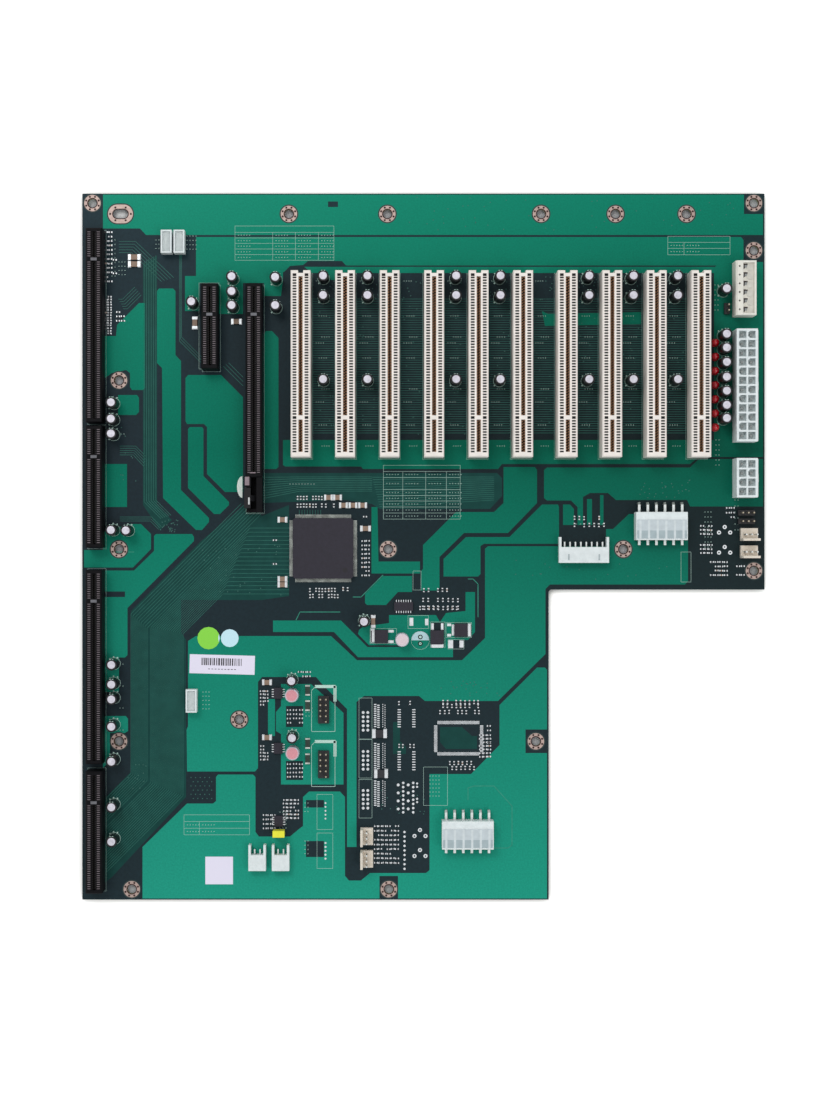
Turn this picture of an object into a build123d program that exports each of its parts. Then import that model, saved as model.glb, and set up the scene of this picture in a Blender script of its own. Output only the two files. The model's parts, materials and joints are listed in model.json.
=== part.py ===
from build123d import *
import os

os.makedirs("parts", exist_ok=True)

# Passive backplane: an L-shaped board that carries card slots, power connectors and headers.
# The board lies flat with its components on top. X runs across the row of card slots, Y along them.
# The origin is the middle of the board's outline, at the tips of the pins that pass through the board.

# Board
board_thickness = 1.6
pin_tail = 1.5
notch_width = 100.0
notch_length = 143.6
notch_corner_radius = 1.5
mounting_hole_diameter = 4.0
slotted_hole_length = 7.4
slotted_hole_width = 4.6

# Ten long card slots in a row
pci_count = 10
pci_pitch = 20.32
pci_length = 85.2
pci_width = 9.0
pci_height = 15.2
pci_groove_width = 1.9
pci_groove_depth = 9.0
pci_north_wall = 2.8
pci_south_wall = 2.3
pci_key_offset = 67.2
pci_key_width = 1.9
pci_notch_width = 2.4
pci_notch_depth = 1.3
pci_edge_bevel = 0.5
pci_west_margin = 101.7
pci_east_margin = 31.42
pci_north_margin = 37.4

# Low card slots, as used for the processor board and for two expansion cards
pcie_width = 7.5
pcie_height = 11.25
pcie_groove_width = 1.75
pcie_groove_depth = 7.8
pcie_end_wall = 1.6
pcie_key_offset = 14.3
pcie_key_width = 1.8
pcie_edge_bevel = 0.4
pcie_long_length = 89.0
pcie_middle_length = 56.0
pcie_short_length = 39.2
pcie_north_margin = 42.8
pcie_to_pci = 21.6
slot_foot_length = 3.0
slot_foot_height = 0.4

# Processor board connectors in one line along the west edge
shb_west_margin = 6.8
shb_north_margin = 17.5
shb_gap_1 = 1.5
shb_gap_2 = 10.2
shb_gap_3 = 3.3
shb_south_margin = 4.5

# Card latch at the south end of the long low slot
latch_bay_length = 16.0
latch_cheek_width = 2.5
latch_floor_height = 3.0
latch_thin_floor = 0.6
latch_lug_length = 4.4
latch_wall_thickness = 1.6
latch_wall_height = 6.0
latch_pivot_diameter = 1.6
latch_pivot_clearance = 0.08
latch_pivot_height = 2.6
latch_stub_length = 1.2
latch_side_clearance = 0.3
latch_arm_thickness = 2.0
latch_arm_height = 10.4
latch_pad_reach = 0.9
latch_pad_thickness = 1.6
latch_hook_reach = 2.0
latch_hook_width = 2.8
latch_hook_thickness = 1.2
latch_hook_drop = 0.8

# Upright power connectors with two columns of cells
cell_pitch = 4.2
cell_size = 3.4
cell_depth = 9.2
cell_corner = 0.9
power_width = 9.6
power_height = 12.8
power_end_wall = 0.6
power_pin = 1.07
power_pin_above_floor = 6.8
ramp_length = 3.8
ramp_reach = 1.2
ramp_height = 3.6
ramp_top_drop = 1.4
power_east_margin = 10.1
atx_rows = 12
atx_north_margin = 89.6
cpu_rows = 4
cpu_north_margin = 132.0

# Six-pin power headers, one upright and two lying flat
big_pin_pitch = 3.96
big_pin = 1.14
big_pin_count = 6
big_end_margin = 2.6
upright_width = 9.4
upright_height = 11.0
upright_wall = 0.9
upright_thick_wall = 3.4
upright_floor = 2.6
upright_north_margin = 44.9
upright_east_margin = 10.3
flat_end_margin = 1.95
flat_body_length = 12.9
flat_back_thickness = 4.0
flat_height = 8.8
flat_roof_thickness = 1.4
flat_side_thickness = 0.9
flat_pin_height = 3.6
flat_pin_front = 2.3
flat_pin_back = 4.6
flat_north_margin = 147.6
flat_east_margin = 48.6
flat_south_margin = 37.3
flat_west_margin = 178.3

# Side-entry headers with 2.5 mm pitch
side_pitch = 2.5
side_end_margin = 2.75
side_pin = 0.64
side_body_length = 7.3
side_arm_length = 4.6
side_arm_width = 1.1
side_height = 5.9
side_wall = 0.8
side_pin_height = 3.0
side_pin_back = 2.4
panel_pin_count = 8
panel_east_margin = 84.1
panel_north_margin = 171.0
switch_pin_count = 2
switch_west_margin = 81.3
switch_spacing = 10.8
switch_south_margin = 14.1

# Upright signal headers with 2 mm pitch
signal_pitch = 2.0
signal_pin_count = 4
signal_pin = 0.5
signal_width = 5.0
signal_end_margin = 2.3
signal_height = 6.6
signal_wall = 0.7
signal_floor = 2.0
signal_pin_drop = 1.0
signal_corner_radius = 0.6

# Fan headers: a base, a lock wall and three pins
fan_pitch = 2.54
fan_pin_count = 3
fan_length = 7.8
fan_width = 5.8
fan_base_height = 3.2
fan_wall_height = 10.4
fan_wall_thickness = 1.1
fan_pin_height = 10.8

# Bare pin headers
header_pitch = 2.54
header_pin = 0.64
header_base_height = 2.5
header_base_width = 2.5
header_pin_height = 8.5
usb_rows = 5
usb_base_width = 5.1
cap_wall = 0.6
cap_height = 6.4
cap_width = 3.0
cap_length = 5.4

# Chips and small parts
bridge_size = 28.0
bridge_height = 3.4
bridge_bevel = 1.0
chip_height = 1.6
chip_width = 4.0
chip_length = 5.0
long_chip_length = 8.7
regulator_size = 6.2
regulator_height = 2.3
regulator_tab_length = 1.6
regulator_tab_width = 5.2
regulator_tab_height = 0.9
fuse_width = 2.1
fuse_length = 4.7
fuse_height = 0.9
capacitor_diameter = 5.2
capacitor_height = 11.4
polymer_diameter = 6.3
polymer_height = 8.0
led_diameter = 3.8
led_height = 4.6
led_pitch = 6.53
led_count = 7

# Small round parts repeat many times, so each is a prism with few sides
can_sides = 8
led_sides = 8

# Paper labels stuck to the board
label_thickness = 0.1
label_length = 30.2
label_width = 8.8
label_turn = -1.5
square_label_size = 12.8
green_label_diameter = 10.4
blue_label_diameter = 8.3
label_sides = 16

# Outline worked out from what the board carries
board_width = pci_west_margin + (pci_count - 1) * pci_pitch + pci_east_margin
shb_lengths = [pcie_long_length, pcie_middle_length, pcie_long_length, pcie_middle_length]
shb_gaps = [shb_gap_1, shb_gap_2, shb_gap_3, shb_south_margin]
board_length = shb_north_margin + sum(shb_lengths) + sum(shb_gaps)
west = -board_width / 2
east = board_width / 2
south = -board_length / 2
north = board_length / 2
board_bottom = pin_tail
board_top = board_bottom + board_thickness

# Places of the slots
pci_x = [west + pci_west_margin + index * pci_pitch for index in range(pci_count)]
pci_north = north - pci_north_margin
pcie_long_x = pci_x[0] - pcie_to_pci
pcie_short_x = pcie_long_x - pci_pitch
pcie_north = north - pcie_north_margin
shb_x = west + shb_west_margin
between_slots = pci_pitch / 2

# Places of the mounting holes, from the nearest edges
hole_row_top = north - 9.4
hole_row_middle = north - 164.7
hole_row_low = south + 73.3
hole_row_bottom = south + 4.8
hole_column_west = west + 17.0
hole_column_east = east - 4.9
mounting_holes = [
    (west + 4.7, north - 4.4),
    (hole_column_east, north - 4.4),
    (west + 95.7, hole_row_top),
    (west + 141.3, hole_row_top),
    (east - 103.5, hole_row_top),
    (east - 69.0, hole_row_top),
    (east - 36.1, hole_row_top),
    (hole_column_east, north - 26.3),
    (hole_column_west, north - 86.5),
    (hole_column_west, hole_row_middle),
    (west + 141.7, hole_row_middle),
    (east - 65.4, hole_row_middle),
    (hole_column_east, north - 174.7),
    (west + 72.7, south + 83.4),
    (hole_column_west, hole_row_low),
    (west + 210.1, hole_row_low),
    (west + 22.9, hole_row_bottom),
    (west + 142.0, hole_row_bottom),
]
slotted_hole = (west + 17.7, hole_row_top)

# Places of the power connectors and headers
atx_place = (east - power_east_margin, north - atx_north_margin)
cpu_place = (east - power_east_margin, north - cpu_north_margin)
upright_place = (east - upright_east_margin, north - upright_north_margin)
flat_places = [
    (east - flat_east_margin, north - flat_north_margin),
    (west + flat_west_margin, south + flat_south_margin),
]
panel_place = (east - panel_east_margin, north - panel_north_margin)
switch_places = [
    (west + switch_west_margin, south + switch_south_margin),
    (west + switch_west_margin + switch_spacing, south + switch_south_margin),
]
signal_places = [
    (west + 39.5, north - 23.0),
    (west + 45.4, north - 23.0),
    (west + 51.0, south + 92.4),
]
fan_west_places = [(west + 131.8, south + 29.6), (west + 131.8, south + 19.2)]
fan_east_places = [(east - 7.5, north - 157.9), (east - 7.5, north - 165.9)]
usb_places = [(west + 111.8, south + 88.1), (west + 111.8, south + 62.8)]
selector_places = [(east - 8.7, north - 147.9), (east - 8.7, north - 151.8)]
spare_jumper_place = (east - 17.7, north - 53.5)
jumper_place = (west + 91.3, south + 31.4)

# Places of the small parts
bridge_place = (west + 111.6, north - 164.3)
chip_places = [(west + 90.8, south + 95.7), (west + 90.8, south + 70.2), (west + 91.0, south + 36.5)]
long_chip_place = (west + 148.8, north - 191.2)
fuse_places = [(west + 104.4, south + y) for y in (97.0, 89.9, 72.4, 65.3)]
capacitor_rows = [pci_north - y for y in (2.0, 10.9, 49.4)]
capacitor_columns = [pci_x[index] + between_slots for index in range(pci_count - 1) if index % 3 != 2]
capacitor_columns.append(pci_x[-2] + between_slots)
capacitor_places = [(x, y) for x in capacitor_columns for y in capacitor_rows]
capacitor_places += [(pcie_long_x - between_slots, pcie_north + y) for y in (3.1, -3.7, -10.1)]
capacitor_places += [(pci_x[0] - 11.8, pcie_north + y) for y in (2.8, -10.1)]
capacitor_places += [(pcie_short_x - 8.3, pcie_north - 8.4)]
capacitor_places += [(pci_x[-1] + 12.2, north - y) for y in (45.2, 66.0, 72.3, 78.9, 85.7, 92.1, 98.6, 104.6)]
capacitor_places += [(west + 14.7, north - y) for y in (97.4, 104.9, 111.7, 155.9)]
capacitor_places += [(west + 21.5, north - 156.1)]
capacitor_places += [(west + 14.9, south + y) for y in (109.3, 100.3, 93.5, 81.0, 65.0, 44.1, 28.3)]
capacitor_places += [(west + 97.3, south + 101.9), (west + 97.6, south + 75.8), (west + 130.6, north - 197.9)]
polymer_places = [(west + 97.3, south + 95.0), (west + 97.6, south + 68.4), (west + 148.1, north - 206.4)]
led_places = [(pci_x[-1] + 8.3, north - 69.2 - index * led_pitch) for index in range(led_count)]


def slot_housing(centre_x, north_y, length, width, height, bevel, groove, walls, key):
    """Housing of one card slot: feet at both ends, a bevelled rim and a groove split by a key."""
    groove_width, groove_depth = groove
    north_wall, south_wall = walls
    key_offset, key_width = key
    first_length = key_offset - key_width / 2 - north_wall
    second_length = length - south_wall - key_offset - key_width / 2
    first_middle = north_y - north_wall - first_length / 2
    second_middle = north_y - length + south_wall + second_length / 2
    with BuildPart() as housing:
        with BuildSketch(Plane.XY.offset(board_top)):
            with Locations((centre_x, north_y - length / 2)):
                Rectangle(width, length)
        extrude(amount=height)
        chamfer(housing.faces().sort_by(Axis.Z)[-1].edges(), length=bevel)
        with BuildSketch(Plane.XY.offset(board_top)):
            with Locations((centre_x, north_y - length / 2)):
                Rectangle(width, length - 2 * slot_foot_length)
        extrude(amount=slot_foot_height, mode=Mode.SUBTRACT)
        with BuildSketch(Plane.XY.offset(board_top + height)):
            with Locations((centre_x, first_middle)):
                Rectangle(groove_width, first_length)
            with Locations((centre_x, second_middle)):
                Rectangle(groove_width, second_length)
        extrude(amount=-groove_depth, mode=Mode.SUBTRACT)
    return housing.part


def low_slot_housing(centre_x, north_y, length):
    """Low card slot of a given length."""
    return slot_housing(
        centre_x,
        north_y,
        length,
        pcie_width,
        pcie_height,
        pcie_edge_bevel,
        (pcie_groove_width, pcie_groove_depth),
        (pcie_end_wall, pcie_end_wall),
        (pcie_key_offset, pcie_key_width),
    )


def finish(piece, name):
    """Name a finished piece and write it to its own file."""
    piece.label = name
    export_step(piece, f"parts/{name}.step")


def power_connector(name, place, rows):
    """Upright connector: a housing with two columns of cells and a ramp for the plug's latch, and its pins.

    One slot under each column of cells takes the column's pins through the floor.
    """
    length = rows * cell_pitch + 2 * power_end_wall
    corner = cell_size / 2
    cut = corner - cell_corner
    top = board_top + power_height
    floor = top - cell_depth
    square_cells = []
    cut_cells = []
    for side in (-1, 1):
        for row in range(rows):
            cell = (place[0] + side * cell_pitch / 2, place[1] + (row - (rows - 1) / 2) * cell_pitch)
            if (row + side) % 3 == 0:
                cut_cells.append(cell)
            else:
                square_cells.append(cell)
    with BuildPart() as housing:
        with BuildSketch(Plane.XY.offset(board_top)):
            with Locations(place):
                Rectangle(power_width, length)
        extrude(amount=power_height)
        with BuildSketch(Plane.XY.offset(top)):
            with Locations(*square_cells):
                Rectangle(cell_size, cell_size)
            with Locations(*cut_cells):
                Polygon(
                    (corner, -corner),
                    (corner, corner),
                    (-cut, corner),
                    (-corner, cut),
                    (-corner, -cut),
                    (-cut, -corner),
                    align=None,
                )
        extrude(amount=-cell_depth, mode=Mode.SUBTRACT)
        with BuildSketch(Plane.XY.offset(board_top)):
            with Locations(place):
                with GridLocations(cell_pitch, 1, 2, 1):
                    Rectangle(power_pin, (rows - 1) * cell_pitch + power_pin)
        extrude(amount=power_height - cell_depth, mode=Mode.SUBTRACT)
        ramp_top = top - ramp_top_drop
        wall_x = place[0] + power_width / 2
        with BuildSketch(Plane.XZ.offset(-place[1] - ramp_length / 2)):
            Polygon(
                (wall_x, ramp_top - ramp_height),
                (wall_x + ramp_reach, ramp_top - ramp_height),
                (wall_x, ramp_top),
                align=None,
            )
        extrude(amount=ramp_length)
    finish(housing.part, f"{name}_connector")

    with BuildPart() as pins:
        with BuildSketch(Plane.XY):
            with Locations(place):
                with GridLocations(cell_pitch, cell_pitch, 2, rows):
                    Rectangle(power_pin, power_pin)
        extrude(amount=floor + power_pin_above_floor)
    finish(pins.part, f"{name}_pins")


def pin_row(place, count, pitch):
    """X of each pin in a row that runs along X."""
    return [place[0] + (index - (count - 1) / 2) * pitch for index in range(count)]


with BuildPart() as circuit_board:
    with BuildSketch(Plane.XY.offset(board_bottom)) as board_outline:
        Rectangle(board_width, board_length)
        with Locations((east - notch_width / 2, south + notch_length / 2)):
            Rectangle(notch_width, notch_length, mode=Mode.SUBTRACT)
        notch_corner = (east - notch_width, south + notch_length)
        fillet(board_outline.vertices().sort_by_distance(notch_corner)[0], radius=notch_corner_radius)
        with Locations(*mounting_holes):
            Circle(mounting_hole_diameter / 2, mode=Mode.SUBTRACT)
        with Locations(slotted_hole):
            SlotOverall(slotted_hole_length, slotted_hole_width, mode=Mode.SUBTRACT)
        for place, rows in ((atx_place, atx_rows), (cpu_place, cpu_rows)):
            with Locations(place):
                with GridLocations(cell_pitch, cell_pitch, 2, rows):
                    Rectangle(power_pin, power_pin, mode=Mode.SUBTRACT)
        with Locations(upright_place):
            with GridLocations(big_pin_pitch, big_pin_pitch, 1, big_pin_count):
                Rectangle(big_pin, big_pin, mode=Mode.SUBTRACT)
        for place in flat_places:
            with Locations((place[0], place[1] + flat_pin_back - big_pin / 2)):
                with GridLocations(big_pin_pitch, big_pin_pitch, big_pin_count, 1):
                    Rectangle(big_pin, big_pin, mode=Mode.SUBTRACT)
    extrude(amount=board_thickness)
circuit_board.part.label = "circuit_board"
export_step(circuit_board.part, "parts/circuit_board.step")

# Ten long slots
for number, centre_x in enumerate(pci_x, start=1):
    housing = slot_housing(
        centre_x,
        pci_north,
        pci_length,
        pci_width,
        pci_height,
        pci_edge_bevel,
        (pci_groove_width, pci_groove_depth),
        (pci_north_wall, pci_south_wall),
        (pci_key_offset, pci_key_width),
    )
    with BuildPart() as pci_slot:
        add(housing)
        with BuildSketch(Plane.XY.offset(board_top)):
            with Locations((centre_x, pci_north - pci_notch_depth / 2)):
                Rectangle(pci_notch_width, pci_notch_depth)
        extrude(amount=pci_height, mode=Mode.SUBTRACT)
    finish(pci_slot.part, f"pci_slot_{number}")

# Four low slots in line for the processor board
shb_north = north - shb_north_margin
for number, (length, gap) in enumerate(zip(shb_lengths, shb_gaps), start=1):
    finish(low_slot_housing(shb_x, shb_north, length), f"shb_connector_{number}")
    shb_north = shb_north - length - gap

finish(low_slot_housing(pcie_short_x, pcie_north, pcie_short_length), "pcie_x4_slot")

# Long low slot with the bay that holds the card latch
bay_north = pcie_north - pcie_long_length
bay_south = bay_north - latch_bay_length
lug_south = bay_north - latch_lug_length
wall_north = bay_south + latch_wall_thickness
slot_west_face = pcie_long_x - pcie_width / 2
slot_east_face = pcie_long_x + pcie_width / 2
channel_west = slot_west_face + latch_cheek_width
pivot_x = slot_west_face + latch_cheek_width / 2
pivot_z = board_top + latch_pivot_height
housing = low_slot_housing(pcie_long_x, pcie_north, pcie_long_length)
with BuildPart() as pcie_x16_slot:
    add(housing)
    with BuildSketch(Plane.XY.offset(board_top)):
        with Locations((pcie_long_x, bay_north)):
            Rectangle(pcie_width, latch_bay_length, align=(Align.CENTER, Align.MAX))
    extrude(amount=latch_thin_floor)
    with BuildSketch(Plane.XY.offset(board_top)):
        with Locations((channel_west, bay_north)):
            Rectangle(pcie_width - latch_cheek_width, latch_bay_length, align=(Align.MIN, Align.MAX))
    extrude(amount=latch_floor_height)
    with BuildSketch(Plane.XY.offset(board_top)):
        with Locations((slot_east_face, bay_north)):
            Rectangle(latch_cheek_width, latch_bay_length, align=(Align.MAX, Align.MAX))
        with Locations((slot_west_face, bay_north)):
            Rectangle(latch_cheek_width, latch_lug_length, align=(Align.MIN, Align.MAX))
    extrude(amount=pcie_height)
    with BuildSketch(Plane.XY.offset(board_top)):
        with Locations((pcie_long_x, bay_south)):
            Rectangle(pcie_width, latch_wall_thickness, align=(Align.CENTER, Align.MIN))
    extrude(amount=latch_wall_height)
    hole_north = lug_south + latch_stub_length + latch_side_clearance
    with BuildSketch(Plane.XZ.offset(-hole_north)):
        with Locations((pivot_x, pivot_z)):
            Circle(latch_pivot_diameter / 2 + latch_pivot_clearance)
    extrude(amount=hole_north - bay_south, mode=Mode.SUBTRACT)
pcie_x16_slot.part.label = "pcie_x16_slot"
export_step(pcie_x16_slot.part, "parts/pcie_x16_slot.step")

# Card latch: an arm on two stubs, with a finger pad outside and a hook over the card channel
arm_north = lug_south - latch_side_clearance
arm_length = arm_north - wall_north - latch_side_clearance
arm_west = pivot_x - latch_arm_thickness / 2
arm_east = pivot_x + latch_arm_thickness / 2
arm_top = board_top + latch_arm_height
arm_foot = pivot_z - latch_arm_thickness / 2
hook_top = arm_top - latch_hook_drop
with BuildPart() as pcie_x16_latch:
    with BuildSketch(Plane.XZ.offset(-arm_north)):
        Polygon(
            (arm_west, pivot_z),
            (pivot_x - latch_arm_thickness / 4, arm_foot),
            (pivot_x + latch_arm_thickness / 4, arm_foot),
            (arm_east, pivot_z),
            (arm_east, arm_top),
            (arm_west - latch_pad_reach, arm_top),
            (arm_west - latch_pad_reach, arm_top - latch_pad_thickness / 2),
            (arm_west, arm_top - latch_pad_thickness),
            align=None,
        )
    extrude(amount=arm_length)
    with BuildSketch(Plane.XZ.offset(-(wall_north + arm_north) / 2 - latch_hook_width / 2)):
        Polygon(
            (arm_east, hook_top - latch_hook_thickness),
            (arm_east + latch_hook_reach, hook_top - latch_hook_thickness),
            (arm_east, hook_top),
            align=None,
        )
    extrude(amount=latch_hook_width)
    with BuildSketch(Plane.XZ.offset(-arm_north - latch_stub_length)):
        with Locations((pivot_x, pivot_z)):
            Circle(latch_pivot_diameter / 2)
    extrude(amount=arm_length + 2 * latch_stub_length)
pcie_x16_latch.part.label = "pcie_x16_latch"
export_step(pcie_x16_latch.part, "parts/pcie_x16_latch.step")

# Upright power connectors
power_connector("atx_power", atx_place, atx_rows)
power_connector("cpu_power", cpu_place, cpu_rows)

# Upright six-pin header: the pins stand beside a thick wall in a shallow trough
big_row_length = (big_pin_count - 1) * big_pin_pitch + 2 * big_end_margin
big_pin_span = (big_pin_count - 1) * big_pin_pitch + big_pin
trough_width = upright_width - upright_thick_wall - upright_wall
with BuildPart() as upright_power_header:
    with BuildSketch(Plane.XY.offset(board_top)):
        with Locations(upright_place):
            Rectangle(upright_width, big_row_length)
    extrude(amount=upright_height)
    chamfer(faces().sort_by(Axis.Z)[-1].edges().sort_by(Axis.X)[0], length=upright_wall)
    with BuildSketch(Plane.XY.offset(board_top + upright_height)):
        with Locations((upright_place[0] + upright_width / 2 - upright_wall, upright_place[1])):
            Rectangle(trough_width, big_row_length - 2 * upright_wall, align=(Align.MAX, Align.CENTER))
    extrude(amount=upright_floor - upright_height, mode=Mode.SUBTRACT)
    with BuildSketch(Plane.XY.offset(board_top)):
        with Locations(upright_place):
            Rectangle(big_pin, big_pin_span)
    extrude(amount=upright_floor, mode=Mode.SUBTRACT)
upright_power_header.part.label = "upright_power_header"
export_step(upright_power_header.part, "parts/upright_power_header.step")

with BuildPart() as upright_power_pins:
    with BuildSketch(Plane.XY):
        with Locations(upright_place):
            with GridLocations(big_pin_pitch, big_pin_pitch, 1, big_pin_count):
                Rectangle(big_pin, big_pin)
    extrude(amount=board_top + upright_height - upright_wall)
upright_power_pins.part.label = "upright_power_pins"
export_step(upright_power_pins.part, "parts/upright_power_pins.step")

# Two flat-lying six-pin headers: a back block, a roof over the pins and two side ribs
flat_row_length = (big_pin_count - 1) * big_pin_pitch + 2 * flat_end_margin
pin_low = board_top + flat_pin_height - big_pin / 2
pin_high = board_top + flat_pin_height + big_pin / 2
for name, place in zip(("east_power", "south_power"), flat_places):
    back_y = place[1]
    with BuildPart() as flat_power_header:
        with BuildSketch(Plane.XY.offset(board_top)):
            with Locations((place[0], back_y)):
                Rectangle(flat_row_length, flat_back_thickness, align=(Align.CENTER, Align.MAX))
        extrude(amount=flat_height)
        with BuildSketch(Plane.XY.offset(board_top + flat_height)):
            with Locations((place[0], back_y)):
                Rectangle(flat_row_length, flat_body_length, align=(Align.CENTER, Align.MAX))
        extrude(amount=-flat_roof_thickness)
        with BuildSketch(Plane.XY.offset(board_top)):
            with Locations((place[0], back_y - flat_body_length / 2)):
                with GridLocations(flat_row_length - flat_side_thickness, 1, 2, 1):
                    Rectangle(flat_side_thickness, flat_body_length)
        extrude(amount=flat_height)
        with BuildSketch(Plane.XZ.offset(-back_y)):
            with Locations((place[0], board_top + flat_pin_height)):
                Rectangle(big_pin_span, big_pin)
        extrude(amount=flat_back_thickness, mode=Mode.SUBTRACT)
    flat_power_header.part.label = f"{name}_header"
    export_step(flat_power_header.part, f"parts/{name}_header.step")

    with BuildPart() as flat_power_pins:
        for pin_x in pin_row(place, big_pin_count, big_pin_pitch):
            with BuildSketch(Plane.YZ.offset(pin_x - big_pin / 2)):
                Polygon(
                    (back_y - flat_body_length - flat_pin_front, pin_low),
                    (back_y + flat_pin_back - big_pin, pin_low),
                    (back_y + flat_pin_back - big_pin, 0),
                    (back_y + flat_pin_back, 0),
                    (back_y + flat_pin_back, pin_low),
                    (back_y + flat_pin_back - big_pin, pin_high),
                    (back_y - flat_body_length - flat_pin_front, pin_high),
                    align=None,
                )
        extrude(amount=big_pin)
    flat_power_pins.part.label = f"{name}_pins"
    export_step(flat_power_pins.part, f"parts/{name}_pins.step")


def side_entry_housing(place, count):
    """Small shrouded header that is open to the south, with two arms that reach back along its pins."""
    width = (count - 1) * side_pitch + 2 * side_end_margin
    back_y = place[1] + side_body_length
    with BuildPart() as housing:
        with BuildSketch(Plane.XY.offset(board_top)):
            with Locations(place):
                Rectangle(width, side_body_length, align=(Align.CENTER, Align.MIN))
            with Locations((place[0], back_y + side_arm_length / 2)):
                with GridLocations(width - side_arm_width, 1, 2, 1):
                    Rectangle(side_arm_width, side_arm_length)
        extrude(amount=side_height)
        with BuildSketch(Plane.XZ.offset(-place[1])):
            with Locations((place[0], board_top + side_height / 2)):
                Rectangle(width - 2 * side_wall, side_height - 2 * side_wall)
        extrude(amount=side_wall - side_body_length, mode=Mode.SUBTRACT)
        with BuildSketch(Plane.XZ.offset(-back_y)):
            with Locations((place[0], board_top + side_pin_height)):
                Rectangle((count - 1) * side_pitch + side_pin, side_pin)
        extrude(amount=side_wall, mode=Mode.SUBTRACT)
    return housing.part


def side_entry_pins(places, count):
    """Bent pins of side-entry headers, standing on the board behind them."""
    low = board_top + side_pin_height - side_pin / 2
    high = board_top + side_pin_height + side_pin / 2
    with BuildPart() as pins:
        for place in places:
            back_y = place[1] + side_body_length
            for pin_x in pin_row(place, count, side_pitch):
                with BuildSketch(Plane.YZ.offset(pin_x - side_pin / 2)):
                    Polygon(
                        (place[1] + side_wall, low),
                        (back_y + side_pin_back - side_pin, low),
                        (back_y + side_pin_back - side_pin, board_top),
                        (back_y + side_pin_back, board_top),
                        (back_y + side_pin_back, high),
                        (place[1] + side_wall, high),
                        align=None,
                    )
                extrude(amount=side_pin)
    return pins.part


finish(side_entry_housing(panel_place, panel_pin_count), "panel_header")
finish(side_entry_pins([panel_place], panel_pin_count), "panel_header_pins")
for number, place in enumerate(switch_places, start=1):
    finish(side_entry_housing(place, switch_pin_count), f"switch_header_{number}")
finish(side_entry_pins(switch_places, switch_pin_count), "switch_header_pins")

# Three upright signal headers, open at the top
signal_length = (signal_pin_count - 1) * signal_pitch + 2 * signal_end_margin
for number, place in enumerate(signal_places, start=1):
    with BuildPart() as signal_header:
        with BuildSketch(Plane.XY.offset(board_top)):
            with Locations(place):
                Rectangle(signal_width, signal_length)
        extrude(amount=signal_height)
        with BuildSketch(Plane.XY.offset(board_top + signal_height)):
            with Locations(place):
                Rectangle(signal_width - 2 * signal_wall, signal_length - 2 * signal_wall)
        extrude(amount=signal_floor - signal_height, mode=Mode.SUBTRACT)
    signal_header.part.label = f"signal_header_{number}"
    export_step(signal_header.part, f"parts/signal_header_{number}.step")

with BuildPart() as signal_header_pins:
    for place in signal_places:
        with BuildSketch(Plane.XY.offset(board_top + signal_floor)):
            with Locations(place):
                with GridLocations(signal_pitch, signal_pitch, 1, signal_pin_count):
                    Rectangle(signal_pin, signal_pin)
    extrude(amount=signal_height - signal_floor - signal_pin_drop)
signal_header_pins.part.label = "signal_header_pins"
export_step(signal_header_pins.part, "parts/signal_header_pins.step")

# Fan headers: two at the south with their pins along Y, two at the east with their pins along X
fan_number = 0
for places, turn in ((fan_west_places, 90), (fan_east_places, 0)):
    for place in places:
        fan_number = fan_number + 1
        base_plane = Plane(origin=(place[0], place[1], board_top)).rotated((0, 0, -turn))
        with BuildPart() as fan_header:
            with BuildSketch(base_plane):
                Rectangle(fan_length, fan_width)
            extrude(amount=fan_base_height)
            with BuildSketch(base_plane):
                with Locations((0, -fan_width / 2)):
                    Rectangle(fan_length, fan_wall_thickness, align=(Align.CENTER, Align.MIN))
            extrude(amount=fan_wall_height)
        fan_header.part.label = f"fan_header_{fan_number}"
        export_step(fan_header.part, f"parts/fan_header_{fan_number}.step")

fan_row_columns = {0: (fan_pin_count, 1), 90: (1, fan_pin_count)}
with BuildPart() as fan_header_pins:
    with BuildSketch(Plane.XY.offset(board_top + fan_base_height)):
        for places, turn in ((fan_west_places, 90), (fan_east_places, 0)):
            for place in places:
                with Locations(place):
                    with GridLocations(fan_pitch, fan_pitch, *fan_row_columns[turn]):
                        Rectangle(header_pin, header_pin)
    extrude(amount=fan_pin_height - fan_base_height)
fan_header_pins.part.label = "fan_header_pins"
export_step(fan_header_pins.part, "parts/fan_header_pins.step")

# Bare pin headers: black bases that stand on the board, and square pins on the bases
for number, place in enumerate(usb_places, start=1):
    with BuildPart() as usb_header:
        with BuildSketch(Plane.XY.offset(board_top)):
            with Locations(place):
                Rectangle(usb_base_width, usb_rows * header_pitch)
        extrude(amount=header_base_height)
    usb_header.part.label = f"usb_header_{number}"
    export_step(usb_header.part, f"parts/usb_header_{number}.step")

with BuildPart() as jumper_headers:
    with BuildSketch(Plane.XY.offset(board_top)):
        with Locations(*selector_places):
            Rectangle(3 * header_pitch, header_base_width)
        with Locations(spare_jumper_place):
            Rectangle(header_base_width, 2 * header_pitch)
        with Locations(jumper_place):
            Rectangle(2 * header_pitch, header_base_width)
    extrude(amount=header_base_height)
jumper_headers.part.label = "jumper_headers"
export_step(jumper_headers.part, "parts/jumper_headers.step")

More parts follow.
